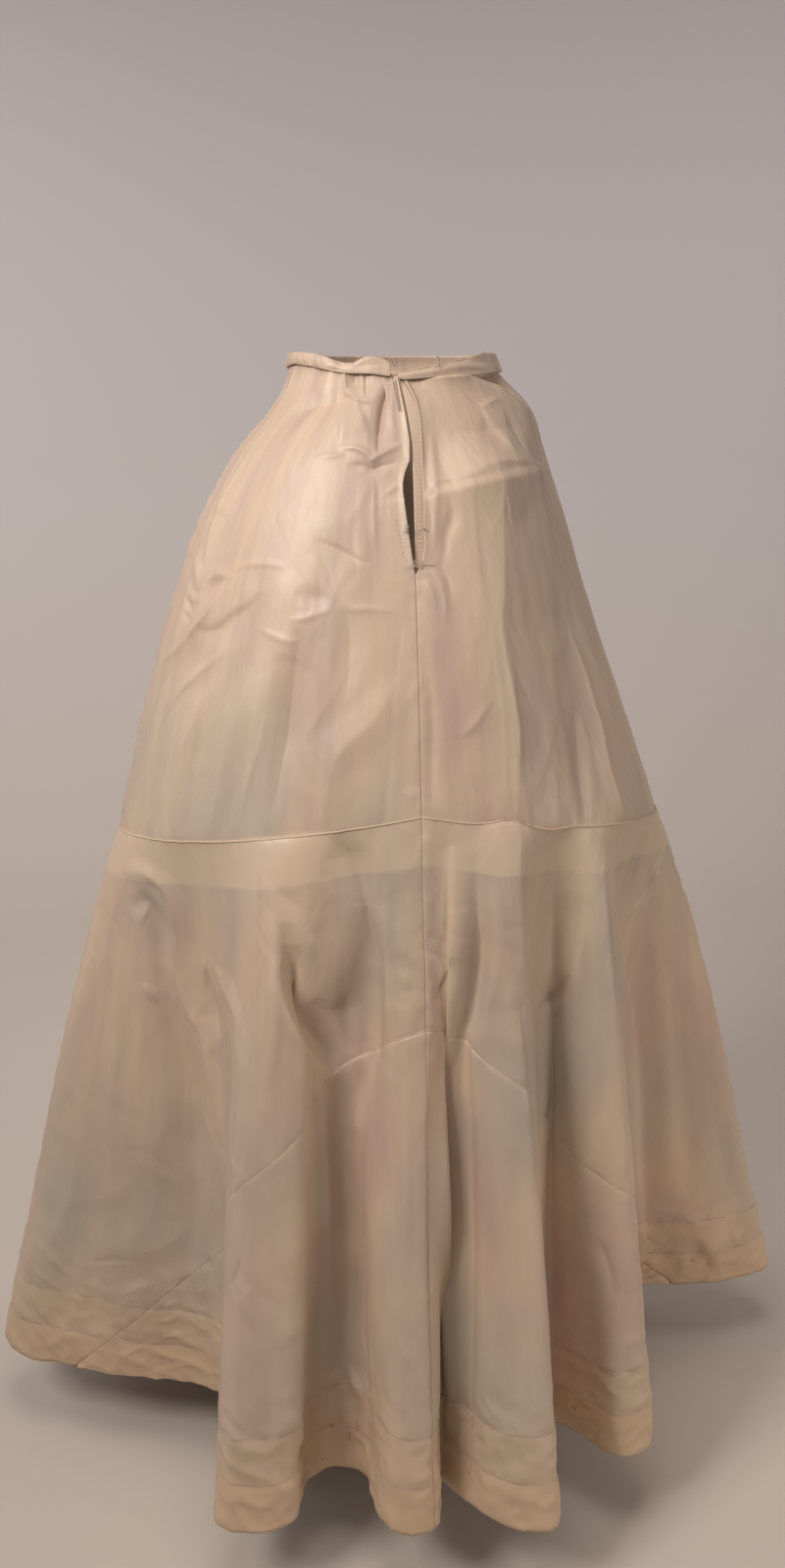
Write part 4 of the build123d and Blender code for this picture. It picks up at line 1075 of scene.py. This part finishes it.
ROUND = np.linspace(0, 1, 900)
BACK_ROUND = np.linspace(-CHEVRON_LEFT_SHARE * 0.98, CHEVRON_RIGHT_SHARE * 0.98, 420)
HEM_STITCH = {"length": 0.0022, "gap": 0.0022, "lift": 0.0002, "radius": 0.0003}
seam_line("yoke_seam_roll", ROUND, np.full(len(ROUND), 1.0015), 0.0004, 0.0010)
seam_line("chevron_seam_roll", BACK_ROUND, chevron(BACK_ROUND), 0.0002, 0.0008)
stitch_row("hem_stitches", ROUND, hem_top(ROUND), **HEM_STITCH)
stitch_row("hem_turning_stitches", ROUND, hem_top(ROUND, HEM_TURNING), **HEM_STITCH)


def yoke_line(pixels, count):
    """Shares round and down of a path on the yoke: straight between places read from pixels."""
    along = np.linspace(0, 1, count)
    return [np.interp(along, np.linspace(0, 1, len(pixels)), share) for share in on_yoke(pixels)]


def sewn_line(pixels, lift, count=24):
    """Path on the yoke through places read from pixels, lifted off the cloth."""
    return on_skirt(*yoke_line(pixels, count), lift)


def frayed(around, down, lift, length, seed):
    """Paths of loose threads: from the cloth along its normal and a random lean, sagging by the square
    of the share along."""
    order = np.arange(len(around)) * 1.7 + seed
    lean = np.stack([soft_noise(order, 0 * order, seed + k) for k in range(3)], -1)
    run = outward(around, down) + 1.3 * lean
    share = np.linspace(0, 1, 8)[None, :, None]
    reach = length * (0.6 + 0.4 * np.abs(lean[:, :1]))[:, None]
    root = skirt_surface(around, down) + outward(around, down) * (relief(around, down) * (down > 0.02) + lift)[:, None]
    sag = np.array((0, 0, -1.0)) * 0.7 * share ** 2
    return to_object(root[:, None] + reach * (run[:, None] * share + sag))


PLACKET_ROW = ((404, 530), (407, 550), (410, 566), (418, 577), (427, 579))
PLACKET_STITCH = {"length": 0.0024, "gap": 0.0012, "lift": 0.0012, "radius": 0.00025}
stitch_row("placket_stitches", *yoke_line(PLACKET_ROW, 60), **PLACKET_STITCH)
threads("placket_bar_tack", [sewn_line(((420, row), (430, row)), 0.0016) for row in (573, 575, 577, 579)]
        + [sewn_line(((428, 577), (442, 577)), 0.0012)], 0.00035, THREAD)
threads("placket_gathers", [sewn_line(line, 0.0016) for line in (
    ((401, 388), (404, 404), (407, 420)), ((403, 386), (406, 403), (409, 421)), ((406, 386), (408, 400), (411, 414)))],
    0.00035, GREY_THREAD)
BAND_END = on_yoke(((500, 361), (502, 364), (503, 367), (503, 370), (502, 373), (501, 375), (503, 362), (503, 372)))
threads("band_frayed_threads", frayed(*BAND_END, 0.0026, 0.0062, 3), 0.00014, THREAD)
SIDE_TUFTS = np.repeat((0.79, 1.012, 1.30), 6) + np.tile(np.linspace(-0.012, 0.012, 6), 3)
threads("side_seam_threads", frayed(np.full(len(SIDE_TUFTS), -SIDE_SHARE), SIDE_TUFTS, 0.0003, 0.0060, 7), 0.00016,
        THREAD)


def studio_sweep():
    """Floor and wall of the studio in one sheet: a profile of floor, quarter round and wall carried
    straight across. Its back is clear, so that it hides nothing from the other side."""
    turn = np.linspace(0, np.pi / 2, 24)
    bend, floor_end, floor_start, wall_top, half_width = 0.9, -1.5, 4.0, 4.0, 5
    back = np.concatenate(([floor_start], floor_end - bend * np.sin(turn), [floor_end - bend]))
    high = np.concatenate(([0.0], bend * (1 - np.cos(turn)), [wall_top])) + FLOOR_HEIGHT
    across = np.linspace(-half_width, half_width, 12)
    points = np.stack(np.broadcast_arrays(across[None, :], back[:, None], high[:, None]), -1)
    made, tree = bare_material("painted_studio_sweep")
    place = node(tree, "ShaderNodeTexCoord").outputs["Object"]
    height = node(tree, "ShaderNodeSeparateXYZ", {"Vector": place}).outputs["Z"]
    rise = node(tree, "ShaderNodeMapRange", {"Value": height, "From Min": FLOOR_HEIGHT, "From Max": FLOOR_HEIGHT + 0.8})
    colour = node(tree, "ShaderNodeMix", {
        "Factor": rise.outputs["Result"], 6: srgb("#d6cbc1"), 7: srgb("#dcd5d4")}, **RGBA).outputs[2]
    paint = node(tree, "ShaderNodeBsdfPrincipled", {"Base Color": colour, "Roughness": 0.9}).outputs["BSDF"]
    behind = node(tree, "ShaderNodeNewGeometry").outputs["Backfacing"]
    clear = node(tree, "ShaderNodeBsdfTransparent").outputs["BSDF"]
    one_sided = node(tree, "ShaderNodeMixShader", {0: behind, 1: paint, 2: clear}).outputs["Shader"]
    node(tree, "ShaderNodeOutputMaterial", {"Surface": one_sided})
    zero = np.zeros(points.shape[:2])
    sweep = cloth_mesh("studio_sweep", points, points, zero, zero, made, 0)
    if sweep.data.polygons[0].normal.z < 0:
        sweep.data.flip_normals()
    return sweep


studio_sweep()

scene = bpy.context.scene
scene.view_settings.view_transform = "Standard"
# A little light comes from all sides, and what is seen past the studio's sheet is a plain pale room.
world = bpy.data.worlds.new("studio")
world.use_nodes = True
air = world.node_tree
air.nodes.clear()
rays = node(air, "ShaderNodeLightPath").outputs
seen = rays["Is Camera Ray"]
for kind in ("Is Glossy Ray", "Is Transmission Ray"):
    seen = node(air, "ShaderNodeMath", {0: seen, 1: rays[kind]}, operation="MAXIMUM").outputs["Value"]
light = node(air, "ShaderNodeBackground", {"Color": srgb("#f1ece8"), "Strength": 0.13}).outputs["Background"]
room = node(air, "ShaderNodeBackground", {"Color": srgb("#a39b96"), "Strength": 1.0}).outputs["Background"]
shown = node(air, "ShaderNodeMixShader", {0: seen, 1: light, 2: room}).outputs["Shader"]
node(air, "ShaderNodeOutputWorld", {"Surface": shown})
scene.world = world


def soft_lamp(name, place, target, size, power, spread, colour):
    """Square area lamp at a place, turned to a target, with its spread in degrees."""
    lamp = bpy.data.lights.new(name, "AREA")
    lamp.size = size
    lamp.spread = np.radians(spread)
    lamp.energy = power
    lamp.color = srgb(colour)[:3]
    holder = bpy.data.objects.new(name, lamp)
    holder.location = place
    toward = Vector(target) - Vector(place)
    holder.rotation_euler = toward.to_track_quat("-Z", "Y").to_euler()
    scene.collection.objects.link(holder)


soft_lamp("key_lamp", (1.6, 1.45, 1.05), (0.05, 0.1, 0.0), 0.8, 14, 95, "#fff8f0")
soft_lamp("top_lamp", (0.2, 1.0, 1.9), (-0.05, 0.1, 0.0), 1.2, 6, 100, "#fff8f0")
soft_lamp("side_lamp", (-1.6, 1.0, -0.6), (-0.35, 0, -0.95), 0.8, 2.2, 80, "#fff2e6")
soft_lamp("wall_lamp_left", (2.2, -0.7, 0.6), (0.4, -2.4, 0.2), 1.4, 18, 150, "#fbf7f8")
soft_lamp("wall_lamp_right", (-2.2, -0.7, 0.6), (-0.4, -2.4, 0.2), 1.4, 8, 150, "#fbf7f8")

camera = bpy.data.cameras.new("camera")
camera.sensor_fit = "VERTICAL"
camera.sensor_height = SENSOR * 1000
camera.lens = SENSOR * 1000 * FOCAL_PIXELS / FRAME_HEIGHT
camera.shift_x = (FRAME_WIDTH / 2 - EYE_PIXEL[0]) / FRAME_HEIGHT
camera.shift_y = (EYE_PIXEL[1] - FRAME_HEIGHT / 2) / FRAME_HEIGHT
eye = bpy.data.objects.new("camera", camera)
eye.location = (EYE_DISTANCE * np.sin(EYE_TURN), EYE_DISTANCE * np.cos(EYE_TURN), EYE_HEIGHT)
eye.rotation_euler = (np.pi / 2, 0, np.pi - EYE_TURN)
scene.collection.objects.link(eye)
scene.camera = eye

bpy.context.view_layer.update()
